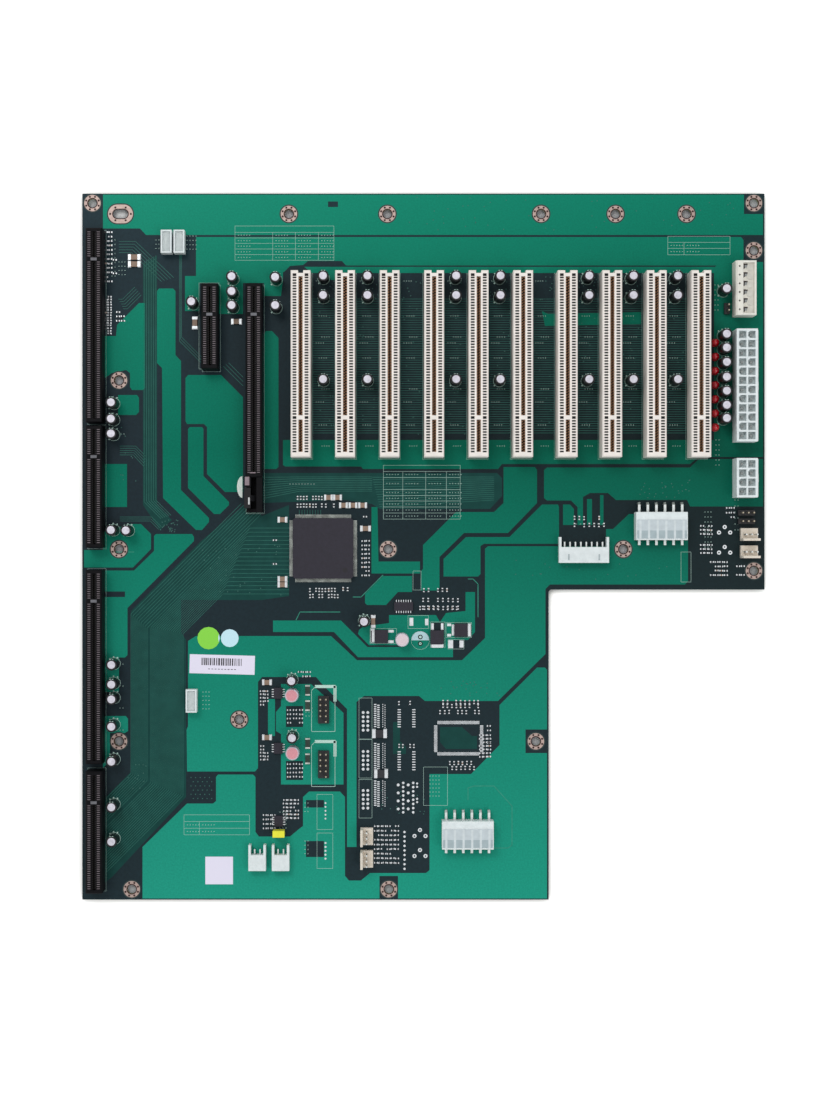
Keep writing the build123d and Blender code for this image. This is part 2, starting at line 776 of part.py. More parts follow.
with BuildPart() as header_pins:
    with BuildSketch(Plane.XY.offset(board_top + header_base_height)):
        for place in usb_places:
            with Locations(place):
                with GridLocations(header_pitch, header_pitch, 2, usb_rows):
                    Rectangle(header_pin, header_pin)
            with Locations((place[0] - header_pitch / 2, place[1] - (usb_rows - 1) / 2 * header_pitch)):
                Rectangle(header_pin, header_pin, mode=Mode.SUBTRACT)
        for place in selector_places:
            with Locations(place):
                with GridLocations(header_pitch, header_pitch, 3, 1):
                    Rectangle(header_pin, header_pin)
        with Locations(spare_jumper_place):
            with GridLocations(header_pitch, header_pitch, 1, 2):
                Rectangle(header_pin, header_pin)
        with Locations(jumper_place):
            with GridLocations(header_pitch, header_pitch, 2, 1):
                Rectangle(header_pin, header_pin)
    extrude(amount=header_pin_height - header_base_height)
header_pins.part.label = "header_pins"
export_step(header_pins.part, "parts/header_pins.step")

# Yellow cap that bridges the two pins of one jumper
cap_bottom = board_top + header_base_height
cap_cavity_height = header_pin_height - header_base_height + (cap_height - header_pin_height + header_base_height) / 2
with BuildPart() as jumper_cap:
    with BuildSketch(Plane.XY.offset(cap_bottom)):
        with Locations(jumper_place):
            Rectangle(cap_length, cap_width)
    extrude(amount=cap_height)
    with BuildSketch(Plane.XY.offset(cap_bottom)):
        with Locations(jumper_place):
            Rectangle(cap_length - 2 * cap_wall, cap_width - 2 * cap_wall)
    extrude(amount=cap_cavity_height, mode=Mode.SUBTRACT)
jumper_cap.part.label = "jumper_cap"
export_step(jumper_cap.part, "parts/jumper_cap.step")

with BuildPart() as bridge_chip:
    with BuildSketch(Plane.XY.offset(board_top)) as chip_outline:
        with Locations(bridge_place):
            Rectangle(bridge_size, bridge_size)
        chamfer(chip_outline.vertices(), length=bridge_bevel)
    extrude(amount=bridge_height)
bridge_chip.part.label = "bridge_chip"
export_step(bridge_chip.part, "parts/bridge_chip.step")

with BuildPart() as small_chips:
    with BuildSketch(Plane.XY.offset(board_top)):
        with Locations(*chip_places):
            Rectangle(chip_width, chip_length)
        with Locations(long_chip_place):
            Rectangle(long_chip_length, chip_width)
    extrude(amount=chip_height)
small_chips.part.label = "small_chips"
export_step(small_chips.part, "parts/small_chips.step")

# Power regulators, each with its metal tab pointing a different way
regulators = [
    (west + 138.5, north - 205.1, (-1, 0)),
    (west + 164.3, north - 205.4, (0, -1)),
    (west + 175.4, north - 202.1, (1, 0)),
]
with BuildPart() as power_regulators:
    for regulator_x, regulator_y, (tab_x, tab_y) in regulators:
        with BuildSketch(Plane.XY.offset(board_top)):
            with Locations((regulator_x, regulator_y)):
                Rectangle(regulator_size, regulator_size)
        extrude(amount=regulator_height)
        tab_distance = (regulator_size + regulator_tab_length) / 2
        with BuildSketch(Plane.XY.offset(board_top)):
            with Locations((regulator_x + tab_x * tab_distance, regulator_y + tab_y * tab_distance)):
                Rectangle(
                    regulator_tab_length * abs(tab_x) + regulator_tab_width * abs(tab_y),
                    regulator_tab_length * abs(tab_y) + regulator_tab_width * abs(tab_x),
                )
        extrude(amount=regulator_tab_height)
power_regulators.part.label = "power_regulators"
export_step(power_regulators.part, "parts/power_regulators.step")

with BuildPart() as resettable_fuses:
    with BuildSketch(Plane.XY.offset(board_top)):
        with Locations(*fuse_places):
            Rectangle(fuse_width, fuse_length)
    extrude(amount=fuse_height)
resettable_fuses.part.label = "resettable_fuses"
export_step(resettable_fuses.part, "parts/resettable_fuses.step")

with BuildPart() as electrolytic_capacitors:
    with BuildSketch(Plane.XY.offset(board_top)):
        with Locations(*capacitor_places):
            RegularPolygon(capacitor_diameter / 2, can_sides)
    extrude(amount=capacitor_height)
electrolytic_capacitors.part.label = "electrolytic_capacitors"
export_step(electrolytic_capacitors.part, "parts/electrolytic_capacitors.step")

with BuildPart() as polymer_capacitors:
    with BuildSketch(Plane.XY.offset(board_top)):
        with Locations(*polymer_places):
            RegularPolygon(polymer_diameter / 2, can_sides)
    extrude(amount=polymer_height)
polymer_capacitors.part.label = "polymer_capacitors"
export_step(polymer_capacitors.part, "parts/polymer_capacitors.step")

with BuildPart() as status_leds:
    with BuildSketch(Plane.XY.offset(board_top)):
        with Locations(*led_places):
            RegularPolygon(led_diameter / 2, led_sides)
    extrude(amount=led_height)
status_leds.part.label = "status_leds"
export_step(status_leds.part, "parts/status_leds.step")

with BuildPart() as paper_labels:
    with BuildSketch(Plane.XY.offset(board_top)):
        with Locations((west + 64.8, south + 108.9)):
            Rectangle(label_length, label_width, rotation=label_turn)
        with Locations((west + 63.4, south + 13.5)):
            Rectangle(square_label_size, square_label_size)
        with Locations((west + 58.5, south + 121.1)):
            RegularPolygon(green_label_diameter / 2, label_sides)
        with Locations((west + 68.3, south + 121.1)):
            RegularPolygon(blue_label_diameter / 2, label_sides)
    extrude(amount=label_thickness)
paper_labels.part.label = "paper_labels"
export_step(paper_labels.part, "parts/paper_labels.step")
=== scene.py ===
import json
import math
import random

import bmesh
import bpy
from mathutils import Matrix, Vector


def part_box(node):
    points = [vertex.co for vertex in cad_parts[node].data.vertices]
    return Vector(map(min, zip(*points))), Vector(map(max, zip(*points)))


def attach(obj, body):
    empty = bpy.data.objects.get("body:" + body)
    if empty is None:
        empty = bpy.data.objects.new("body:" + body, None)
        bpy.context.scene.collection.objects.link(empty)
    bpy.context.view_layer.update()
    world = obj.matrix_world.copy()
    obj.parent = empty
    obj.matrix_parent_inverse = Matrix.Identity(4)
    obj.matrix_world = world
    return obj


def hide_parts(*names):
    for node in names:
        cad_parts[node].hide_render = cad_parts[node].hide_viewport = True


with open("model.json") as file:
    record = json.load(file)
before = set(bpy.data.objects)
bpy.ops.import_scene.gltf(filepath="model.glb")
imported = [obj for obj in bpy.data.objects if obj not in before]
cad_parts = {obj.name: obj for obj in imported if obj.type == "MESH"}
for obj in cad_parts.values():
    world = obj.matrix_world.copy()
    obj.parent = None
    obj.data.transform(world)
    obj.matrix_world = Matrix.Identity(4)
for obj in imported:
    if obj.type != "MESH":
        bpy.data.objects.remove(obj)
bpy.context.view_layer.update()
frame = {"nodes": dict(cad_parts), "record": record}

bl_info = {
    "name": "Passive backplane",
    "version": (1, 0, 0),
    "blender": (4, 5, 0),
    "location": "View3D > Sidebar > Backplane",
    "description": "Dresses the solids of a passive backplane with print, copper, contacts and finishes",
    "category": "Object",
}

MM = 0.001
BODY = "backplane"
LATCH_BODY = "latch"

# Board, read from the frame
BOARD_LOW, BOARD_HIGH = (Vector(corner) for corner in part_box("circuit_board"))
BOARD_TOP = BOARD_HIGH.z
BOARD_MIDDLE = (BOARD_LOW + BOARD_HIGH) / 2
MASK_THICKNESS = 0.03 * MM
PRINT_THICKNESS = 0.02 * MM
PRINT_LOW = BOARD_TOP + MASK_THICKNESS + 0.01 * MM

# Thickness of a mark that lies on a moulding
FILM = 0.02 * MM

# Nodes of the slots and of the latch
LONG_SLOTS = [f"pci_slot_{number}" for number in range(1, 11)]
LOW_SLOTS = ["shb_connector_1", "shb_connector_2", "shb_connector_3", "shb_connector_4", "pcie_x4_slot"]
LONG_LOW_SLOT = "pcie_x16_slot"
LATCH = "pcie_x16_latch"

# The photograph looks straight down: a point on the board's face goes from pixels to metres
PIXEL = 0.4632 * MM
MIDDLE_PIXEL = (423.4, 546.6)
IMAGE_SIZE = (827, 1103)
AXIS_PIXEL = (388.0, 550.0)
CAMERA_HEIGHT = 0.980
SENSOR_WIDTH = 36.0


def spot(x, y):
    """Place on the board's face, in metres, of a pixel of the photograph."""
    return Vector(((x - MIDDLE_PIXEL[0]) * PIXEL, (MIDDLE_PIXEL[1] - y) * PIXEL))


def linear(code):
    """Linear colour of an sRGB hex value."""
    channels = [int(code[index:index + 2], 16) / 255 for index in (1, 3, 5)]
    return tuple(c / 12.92 if c <= 0.04045 else ((c + 0.055) / 1.055) ** 2.4 for c in channels) + (1.0,)


# Outlines of the copper areas under the green mask, in pixels of the photograph
NORTH_BAND = [(103, 194.6), (763, 194.6), (763, 235), (146, 235), (140, 228.5), (103, 228.5)]
SLOT_FIELD = [
    (196, 237), (741, 237), (743.5, 240), (743.5, 262), (716, 265.5), (346, 265.5), (342, 261), (308, 261),
    (303, 265), (290, 266), (284, 272), (281, 296), (264, 296), (264, 283), (243, 283), (243, 314),
    (218, 314), (218, 283), (199.5, 283), (199.5, 311), (185, 311), (185, 276), (196, 276),
]
SLOT_HEADS = [
    (304, 266.8), (716, 266.8), (716, 273), (340, 273), (340, 280), (320, 280), (318, 273), (312, 273),
]
WEST_ISLAND = [
    (102, 336), (116, 336), (117, 325), (139, 303), (145, 303), (145, 388), (143, 390), (132, 390),
    (130, 387), (130, 373), (126, 370), (112, 373), (102, 380),
]
WEST_PATCH = [(118, 395), (137, 395), (139, 398), (139, 412), (136, 415), (118, 415)]
LONG_FINGER = [
    (157, 291), (159, 288.5), (173, 288.5), (175.5, 291), (175.5, 355), (181, 361), (181, 490), (209, 518),
    (209, 522), (202, 530), (196, 530), (163, 498), (162, 368), (157, 363),
]
LEVER_FIELD = [
    (185.5, 378), (188, 375), (221, 375), (243, 397), (243, 492), (225, 492), (207, 474), (207, 427),
    (204, 424), (187, 424), (185.5, 421),
]
INNER_FINGER = [
    (188, 429), (190, 427), (202, 427), (203.5, 429), (203.5, 476), (229, 502), (229, 505), (220, 514),
    (214, 514), (188, 488),
]
SMALL_BLOCK = [(103, 464), (127, 464), (127, 507), (103, 507)]
HOLE_FIELD = [
    (103, 532), (130, 524), (141, 524), (151, 534), (151, 549), (133, 567.5), (84, 567.5), (84, 550),
    (103, 550),
]
WEST_WEDGE = [
    (154, 536), (156, 534), (192, 534), (194, 537), (194, 541), (127.5, 608), (127.5, 655), (125, 657.5),
    (119, 657.5), (119, 692), (103, 692), (103, 570.5), (134, 570.5), (154, 551),
]
WEST_FOOT = [(103, 716), (126, 716), (128, 719), (128, 731), (125, 733), (110, 733), (110, 760), (103, 768)]
SLOT_STRIP = [(264, 334), (266, 331), (272, 331), (278.5, 338), (278.5, 467), (276, 469), (264, 469)]
EAST_FIELD = [
    (283, 440), (714, 440), (714, 268), (718, 264), (746, 264), (746, 262), (763, 262), (763, 457),
    (699, 457), (690, 464), (502, 464), (498, 469), (363, 469), (361, 466.5), (285, 466.5), (283, 465),
]
PLUG_FIELD = [
    (544, 470), (547, 467.5), (690, 467.5), (699, 459), (763, 459), (763, 506.5), (690, 506.5), (687, 500),
    (616, 500), (608, 493), (590, 493), (583, 497), (583, 525), (577.5, 525), (577.5, 507), (571, 500.5),
    (547, 500.5), (544, 498),
]
TABLE_FIELD = [
    (503.5, 467), (535, 467), (537, 470), (537, 503), (508, 533), (464, 533), (439.5, 557), (439.5, 588),
    (437, 590.5), (421, 590.5), (421, 571), (423, 569), (423, 545), (456, 512), (494, 512), (503.5, 503),
]
CHIP_SIDE = [(371.5, 507), (377.5, 507), (378.5, 561.5), (420, 561.5), (420, 573.5), (371.5, 573.5)]
CHIP_CORNER = [
    (383, 576), (412, 576), (412, 592), (398, 592), (386, 605), (367, 605), (365, 603), (365, 594),
]
MIDDLE_FIELD = [
    (466, 537), (509.5, 537), (540, 506.5), (542, 504.5), (558, 504.5), (559, 507), (559, 543.8),
    (484, 543.8), (480.5, 546), (480.5, 574), (478, 576.5), (443.5, 576.5), (443.5, 559),
]
HEADER_TAB = [(563, 504.5), (570, 504.5), (574, 509), (574, 525), (563, 525)]
FINGER_ONE = [(587, 499), (592, 499), (592, 525), (587, 525)]
FINGER_TWO = [(600, 495), (603.5, 495), (603.5, 525), (600, 525)]
MAIN_FIELD = [
    (485, 548.6), (488, 546.2), (606, 546.2), (606, 529), (613, 529), (629, 514), (688, 514), (688, 581),
    (685, 584.5), (550, 584.5), (545.5, 589), (545.5, 654), (498, 701), (425, 701), (419, 696), (364, 696),
    (356.5, 702), (356.5, 847), (347, 847), (347, 709), (322, 684), (316, 677), (262, 677), (258, 682),
    (258, 768), (255, 771.5), (187, 771.5), (186.5, 730), (188, 726), (188, 641), (196, 636), (331, 636),
    (357, 660.2), (462, 660.2), (485, 638),
]
SOUTH_FIELD = [
    (216, 777), (218, 774.5), (253, 774.5), (255.5, 777), (255.5, 832), (259, 836.5), (290, 836.5),
    (299, 829), (303, 826), (303, 797), (309, 791.5), (340, 791.5), (345, 797), (345, 876), (349, 880.5),
    (361, 880.5), (370, 873), (426, 873), (429.5, 870), (429.5, 774), (471, 774), (499.5, 745),
    (499.5, 705), (537, 667.5), (545, 667.5), (547, 670), (547, 898.5), (142.5, 898.5), (142.5, 847),
    (187, 803.5), (213, 803.5), (216, 801),
]
PORT_FIELD = [
    (281, 684), (311, 684), (320, 692), (334, 704), (343.5, 713), (343.5, 784.5), (281, 784.5), (281, 734),
    (276, 731), (276, 712), (281, 706),
]
PORT_STRIP = [(268, 699), (275, 699), (275, 736), (268, 736)]
SUPPLY_FIELD = [
    (273, 620.5), (341, 620.5), (367.5, 647), (402, 647), (402, 645.2), (369, 645.2), (358, 634),
    (359, 630), (364, 626), (375, 625), (389, 623), (389, 615), (436, 615), (440, 622), (446, 613),
    (465.5, 611), (465.5, 592), (475, 592), (475, 632), (468, 640), (453, 640), (453, 657.2), (358, 657.2),
    (334, 632), (273, 632),
]
BUS_ISLAND = [(542, 311), (548, 314), (641, 312), (641, 324), (545, 326)]
POURS = [
    NORTH_BAND, SLOT_FIELD, SLOT_HEADS, WEST_ISLAND, WEST_PATCH, LONG_FINGER, LEVER_FIELD, INNER_FINGER,
    SMALL_BLOCK, HOLE_FIELD, WEST_WEDGE, WEST_FOOT, SLOT_STRIP, EAST_FIELD, PLUG_FIELD, TABLE_FIELD,
    CHIP_SIDE, CHIP_CORNER, MIDDLE_FIELD, HEADER_TAB, FINGER_ONE, FINGER_TWO, MAIN_FIELD, SOUTH_FIELD,
    PORT_FIELD, PORT_STRIP, SUPPLY_FIELD, BUS_ISLAND,
]

# Areas where many traces run side by side, a little lighter than the bare board
BUS_FIELD = [
    (247, 503), (262, 516), (289, 505), (289, 596), (262, 600), (181, 600), (181, 632), (186, 640),
    (186, 797), (112, 877), (103, 884), (103, 800), (131, 772), (131, 611), (201, 541),
]
CHIP_FIELD = [
    (262, 473), (497, 473), (502, 478), (502, 496), (490, 509), (380, 509), (372, 504), (345, 500),
    (262, 503),
]
WEST_BUS = [(143, 265), (157, 255), (157, 505), (172, 520), (160, 530), (143, 505)]
EMPTY_CHIP_FIELD = [(440, 727), (462, 727), (472, 736), (477, 736), (477, 749), (446, 749), (440, 742)]
PAD_FIELD = [(393, 722), (400, 722), (400, 741), (406, 747), (406, 754), (393, 754)]
TRACE_FIELDS = [BUS_FIELD, CHIP_FIELD, WEST_BUS, EMPTY_CHIP_FIELD, PAD_FIELD]

# Bundles of traces: two edge paths with as many points each, and how many traces run between them
BUNDLES = [
    ([(240, 503), (130, 613), (130, 773), (106, 797)], [(262, 515), (148, 629), (148, 781), (106, 823)], 9),
    (
        [(289, 526), (251, 526), (150, 627), (150, 782), (106, 826)],
        [(289, 596), (222, 596), (184, 634), (184, 796), (106, 874)], 17,
    ),
    ([(262, 476), (300, 476), (372, 476)], [(262, 500), (300, 492), (372, 492)], 9),
    ([(143, 262), (143, 502), (160, 519)], [(157, 255), (157, 500), (172, 515)], 6),
    ([(298, 510), (298, 515)], [(322, 510), (322, 515)], 9),
    ([(120, 445), (136, 445), (146, 455)], [(120, 456), (133, 456), (144, 468)], 5),
    ([(120, 516), (152, 516), (162, 526)], [(120, 522), (150, 522), (158, 530)], 3),
    ([(119, 240), (136, 240), (175, 277)], [(119, 254), (131, 254), (160, 282)], 5),
    ([(118, 298), (122, 298), (134, 286)], [(124, 310), (128, 310), (142, 296)], 5),
    ([(179, 255), (179, 342), (200, 363)], [(182, 255), (182, 336), (204, 358)], 3),
    ([(372, 476), (494, 476)], [(380, 508), (494, 501)], 13),
    ([(222, 367), (243, 388)], [(230, 362), (243, 375)], 3),
]
# Level traces between the long slots: the first, the last and the step
SLOT_TRACE_ROWS = (299, 437, 2.35)
# Single traces that stand out
BRIGHT_TRACES = [
    [(110, 552), (134, 552)],
    [(340, 612), (300, 612), (296, 620)],
    [(353, 597), (361, 597), (383, 575)],
    [(468, 579), (473, 579), (478, 584), (478, 617)],
    [(468, 788), (474, 786), (494, 786), (512, 806), (512, 845), (508, 848), (490, 848)],
    [(468, 788), (468, 800)],
]

# Print on the board: tables with two corners, their upright lines and their level lines, then frames
TABLES = [
    ((235, 226), (333.9, 260.3), (272.7, 295.4, 318.4), (232.4, 238, 243.4, 249, 254.6)),
    ((383.4, 465.3), (460.2, 519.1), (402.8, 425.7, 446.4), (471.4, 477.6, 489.6, 495.6, 501, 507, 513)),
    ((667.8, 236.3), (730, 254.8), (684,), (242.4, 248.4)),
    ((184, 814.8), (249.5, 834.8), (199.4,), (821.5, 828.2)),
]
FRAMES = [
    ((317, 794.4), (332.8, 829.5)),
    ((317, 833), (332.8, 868.4)),
    ((423.5, 767), (447.5, 805.4)),
    ((681, 552), (691, 582)),
    ((413, 571), (421, 590)),
    ((199, 283), (219, 369)),
    ((408, 615.5), (428.5, 628.5)),
    ((370, 628.5), (396.5, 643.5)),
    ((430.5, 622), (445, 647.5)),
    ((446, 622.5), (471.5, 637.5)),
    ((448, 639.5), (464, 649)),
    ((359, 698), (372, 739)),
    ((359, 739.5), (372, 778)),
    ((359, 779.5), (372, 818)),
]
# Frames of the two bare headers
PORT_FRAMES = [((311.5, 686.5), (335, 731.5)), ((311.5, 741.5), (335, 786.5))]
# Corner of the long low slot's frame beside its latch
LATCH_FRAME = [(263, 484), (263, 513), (246, 513)]
# Half discs of print: a middle, a radius, the angle where they start and how wide they are for their height
CRESCENT = (242.4, 487.0, 10.8, math.pi / 2, 0.5)
HALF_DISC = (420.3, 640.3, 9.2, 0.0, 1.0)

# Rows of marks where the board has print: a start, the step to the next row, the rows and the marks in each
MARK_ROWS = [
    ((156, 240), (0, 4.2), 3, 4),
    ((187, 236), (0, 4.4), 4, 4),
    ((228, 300), (5, 0), 3, 2),
    ((199, 640), (0, 8), 1, 3),
    ((203, 692), (0, 4.2), 5, 3),
    ((112, 240), (0, 4.5), 9, 2),
    ((119, 262), (0, 4.2), 4, 3),
    ((306, 708), (0, 4), 3, 3),
    ((118, 434), (0, 4), 1, 3),
    ((120, 664), (0, 22), 4, 2),
    ((290, 484), (3, 0), 9, 1),
    ((576, 524), (4.4, 0), 7, 1),
    ((705, 512), (0, 5), 8, 3),
    ((735, 500), (0, 6), 6, 2),
    ((715, 285), (0, 5), 6, 2),
    ((716, 440), (0, 5), 6, 2),
    ((305, 803), (0, 4.2), 3, 2),
    ((305, 841), (0, 4.2), 4, 2),
    ((430, 776), (0, 4), 6, 4),
    ((280, 812), (0, 4), 5, 3),
]

# Small parts: a corner, the steps, the columns and rows, and the axis that each part lies along
CHIP_GRIDS = [
    ((106, 232), (4.4, 4.5), (2, 12), "x"),
    ((115, 260), (4.4, 4.4), (1, 4), "x"),
    ((106, 297), (3.6, 2.6), (2, 15), "x"),
    ((118, 312), (5, 4.4), (2, 3), "x"),
    ((297.6, 498), (3.05, 7.6), (9, 2), "y"),
    ((326, 505.5), (4, 0), (3, 1), "y"),
    ((310, 590), (3.1, 6), (10, 2), "y"),
    ((363.4, 541), (4.3, 4.3), (2, 9), "x"),
    ((343, 589), (4.6, 0), (2, 1), "y"),
    ((262, 691), (4.4, 3.4), (2, 5), "x"),
    ((262, 746), (4.4, 3.4), (2, 5), "x"),
    ((289, 710), (6, 4.2), (3, 4), "x"),
    ((289, 764), (6, 4.2), (3, 4), "x"),
    ((423, 600), (5, 7.5), (8, 2), "y"),
    ((440, 712), (4.6, 4), (3, 1), "y"),
    ((458, 712), (4.2, 4), (6, 1), "y"),
    ((489, 726), (4, 4.2), (1, 5), "x"),
    ((450, 763), (4.2, 4), (6, 1), "y"),
    ((399, 703), (3.8, 4), (2, 1), "y"),
    ((410, 703), (3.8, 4), (2, 1), "y"),
    ((399, 746), (3.8, 4), (2, 1), "y"),
    ((410, 746), (3.8, 4), (2, 1), "y"),
    ((376, 826), (4.2, 4.6), (6, 9), "x"),
    ((702, 526), (4.2, 4), (3, 3), "x"),
    ((702, 545), (4.2, 4), (3, 3), "x"),
    ((712, 562), (4.6, 4.3), (4, 4), "x"),
    ((728, 508), (4.6, 4.6), (2, 3), "x"),
    ((738, 566), (4.6, 9), (2, 2), "x"),
    ((574.5, 518), (4.9, 7), (7, 2), "y"),
    ((424, 590), (4.6, 0), (6, 1), "y"),
    ((420, 608), (4.6, 0), (9, 1), "y"),
    ((300, 672), (4.4, 4.4), (3, 2), "x"),
    ((265, 815), (4.4, 4.4), (3, 4), "x"),
    ((443, 702), (4.4, 4), (9, 2), "y"),
    ((452, 768), (4.4, 4), (6, 1), "y"),
    ((481, 735), (4, 3.6), (3, 7), "x"),
    ((285, 800), (4, 3.6), (4, 6), "x"),
]
# Small parts that stand alone
LONE_CHIPS = [
    (365, 516.5, "x"), (374, 617, "y"), (374, 623, "y"), (307, 688, "y"), (307, 705, "y"), (307, 744, "y"),
    (307, 759, "y"), (275, 540, "x"), (275, 564, "x"),
]

# Larger chip parts: a middle, a length, a width and the axis of the length
LARGE_CHIPS = [
    (134.5, 257.4, 12, 5.4, "x"), (134.5, 264.4, 12, 5.4, "x"), (195, 323, 12, 5, "y"),
    (236.5, 321.7, 10, 5, "x"), (282.5, 519.7, 9, 5, "x"), (282.5, 579, 9, 5, "x"),
    (282.5, 584.6, 9, 5, "x"), (365.5, 528.5, 10, 5, "x"), (328.5, 497.5, 8, 5, "x"),
    (337.5, 497.5, 8, 5, "x"), (343.5, 505.3, 8, 5, "x"), (353, 505.3, 8, 5, "x"),
    (362.6, 505.3, 8, 5, "x"), (267, 682.3, 9, 5, "x"), (267, 737.3, 9, 5, "x"), (379.5, 733.5, 14, 8, "x"),
    (381, 773.5, 13, 8, "x"), (373.2, 621.4, 12, 4, "y"),
]
# Round pads: a corner, the steps, the columns and rows, and a radius in mm
PAD_GRIDS = [
    ((363.2, 712.5), (4.6, 4.4), (2, 5), 0.66),
    ((363.2, 751.5), (4.6, 4.4), (2, 5), 0.66),
    ((363.2, 790.5), (4.6, 4.4), (2, 5), 0.66),
    ((398.2, 784.9), (10, 8), (2, 4), 0.66),
    ((403.2, 782.9), (10, 4.2), (2, 8), 0.57),
    ((417.1, 783.5), (0, 3.3), (1, 2), 0.48),
    ((417.1, 798.8), (0, 3.3), (1, 2), 0.48),
    ((325.5, 803), (0, 3.9), (1, 5), 0.42),
    ((325.5, 843), (0, 3.9), (1, 5), 0.48),
    ((404.5, 832), (0, 4.6), (1, 9), 0.54),
]
# Two rows of pads for a small chip: two corners and the pads in a row
FOOTPRINTS = [
    ((399.2, 708.5), (413.8, 728), 8),
    ((399.2, 750.5), (413.8, 771), 8),
]
TRIMMER_PADS = [
    (420, 830), (414.5, 836), (425.5, 836), (420, 850), (414.5, 856), (425.5, 856),
    (724.7, 527), (719, 532.5), (730.2, 532.5), (724.7, 547), (719, 552.6), (730.2, 552.6),
]
# Close columns of pads: a corner and a height, then the shift of each column and its length in mm
MESH_PADS = [((375.2, 704.5), 25), ((375.2, 743.5), 27), ((375.2, 781), 27)]
MESH_COLUMNS = [(0, 1.1), (3.2, 1.1), (7.6, 0.35), (9.8, 0.35)]
MESH_STEP = 2.2
# Areas with vias strewn over them: two corners and how many
VIA_FIELDS = [
    ((640, 480), (690, 498), 30), ((404, 196), (740, 232), 46), ((300, 275), (700, 300), 160),
    ((300, 305), (700, 436), 240), ((160, 520), (178, 532), 26),
    ((125, 762), (150, 790), 12), ((200, 545), (285, 595), 34),
    ((500, 560), (680, 580), 16), ((440, 680), (500, 696), 24), ((120, 420), (140, 500), 10),
    ((380, 790), (425, 815), 20),
]
# Bare patches inside the copper areas, and one dark area between the pads of a regulator at (431, 622.5):
# two corners
DARK_SQUARES = [
    ((525.5, 729.5), (547.8, 753)), ((379.5, 876), (398, 899)), ((103, 591.5), (125, 597)),
    ((328, 201.5), (338, 207)), ((744, 236), (764, 262)), ((744, 194), (764, 214)), ((286, 706), (303, 727)),
    ((286, 761), (303, 780)), ((431, 622.5), (444.5, 631)), ((306, 800), (324, 807.5)),
    ((306, 841), (324, 857)), ((283, 272), (303, 288)),
]


def size_property(name, description, millimetres):
    """Property for one length."""
    return bpy.props.FloatProperty(
        name=name, description=description, default=millimetres * MM, unit="LENGTH",
    )


class BackplaneSizes(bpy.types.PropertyGroup):
    """Sizes that a user would change."""

    ring_diameter: size_property("Screw ring", "Outer diameter of the copper rings", 7.6)
    trace_width: size_property("Trace width", "Width of one trace on the board", 0.22)
    print_width: size_property("Print width", "Width of one printed line", 0.1)
    long_pitch: size_property("Long slot pitch", "Distance between contacts of the long slots", 1.27)
    low_pitch: size_property("Low slot pitch", "Distance between contacts of the low slots", 1.0)
    can_shoulder: size_property("Can shoulder", "Radius of the rounded rim of a capacitor", 0.35)


def colour_property(name, description, code):
    """Property for one colour, with its default as an sRGB hex value."""
    return bpy.props.FloatVectorProperty(
        name=name, description=description, default=linear(code), size=4, min=0, max=1, subtype="COLOR",
    )


class BackplaneColours(bpy.types.PropertyGroup):
    """Colours that a user would change."""

    mask: colour_property("Solder mask", "Green of the mask over copper", "#1f8468")
    bare: colour_property("Bare board", "Board between the copper areas", "#24343d")
    long_slot: colour_property("Long slots", "Nylon of the ten long slots", "#ece6e0")
    low_slot: colour_property("Low slots", "Nylon of the low slots and the latch", "#0c0c0f")
    connector: colour_property("Connectors", "Nylon of the power connectors", "#dfe8ea")
    fan: colour_property("Fan headers", "Nylon of the fan headers", "#dcd2c4")
    led: colour_property("Lights", "Epoxy of the status lights", "#c20f20")
    cap: colour_property("Jumper cap", "Plastic of the jumper cap", "#e8e640")


def sizes():
    """Sizes as the user has set them."""
    return bpy.context.scene.backplane_sizes


def colours():
    """Colours as the user has set them."""
    return bpy.context.scene.backplane_colours


def add_node(tree, kind, inputs=None, **settings):
    """Add a node with its settings, and give each input its value or a link from another node."""
    node = tree.nodes.new(kind)
    for key, value in settings.items():
        setattr(node, key, value)
    for key, value in (inputs or {}).items():
        if isinstance(value, bpy.types.NodeSocket):
            tree.links.new(value, node.inputs[key])
        else:
            node.inputs[key].default_value = value
    return node


def add_map(tree, source, *limits):
    """Map a value from one range to another, which is 0 to 1 where it isn't given."""
    inputs = dict(zip(("From Min", "From Max", "To Min", "To Max"), limits))
    return add_node(tree, "ShaderNodeMapRange", {"Value": source, **inputs}).outputs["Result"]


def add_mix(tree, share, first, second):
    """Blend of two colours."""
    inputs = {"Factor": share, 6: first, 7: second}
    return add_node(tree, "ShaderNodeMix", inputs, data_type="RGBA").outputs[2]


def add_math(tree, operation, *terms):
    """Result of one operation on values."""
    return add_node(tree, "ShaderNodeMath", dict(enumerate(terms)), operation=operation).outputs[0]


def object_place(tree):
    """Place of a point in its object's own frame."""
    return add_node(tree, "ShaderNodeTexCoord").outputs["Object"]


def add_noise(tree, size, detail):
    """Noise in patches about as large as size."""
    inputs = {"Scale": 1 / size, "Detail": detail, "Vector": object_place(tree)}
    return add_node(tree, "ShaderNodeTexNoise", inputs).outputs["Fac"]


def start_material(name, colour, roughness, **values):
    """Material with its shader's constants set, and the shader and node tree to build on."""
    material = bpy.data.materials.new(name)
    material.use_nodes = True
    shader = material.node_tree.nodes["Principled BSDF"]
    shader.inputs["Base Color"].default_value = colour
    shader.inputs["Roughness"].default_value = roughness
    for key, value in values.items():
        shader.inputs[key.replace("_", " ")].default_value = value
    return material, material.node_tree, shader


def shade(colour, factor):
    """The same colour, lighter or darker."""
    return tuple(min(1.0, channel * factor) for channel in colour[:3]) + (1.0,)


def add_mottle(tree, shader, first, second, size):
    """Colour the surface in soft patches between two colours, about as large as size."""
    share = add_map(tree, add_noise(tree, size, 3.0), 0.25, 0.75)
    tree.links.new(add_mix(tree, share, first, second), shader.inputs["Base Color"])


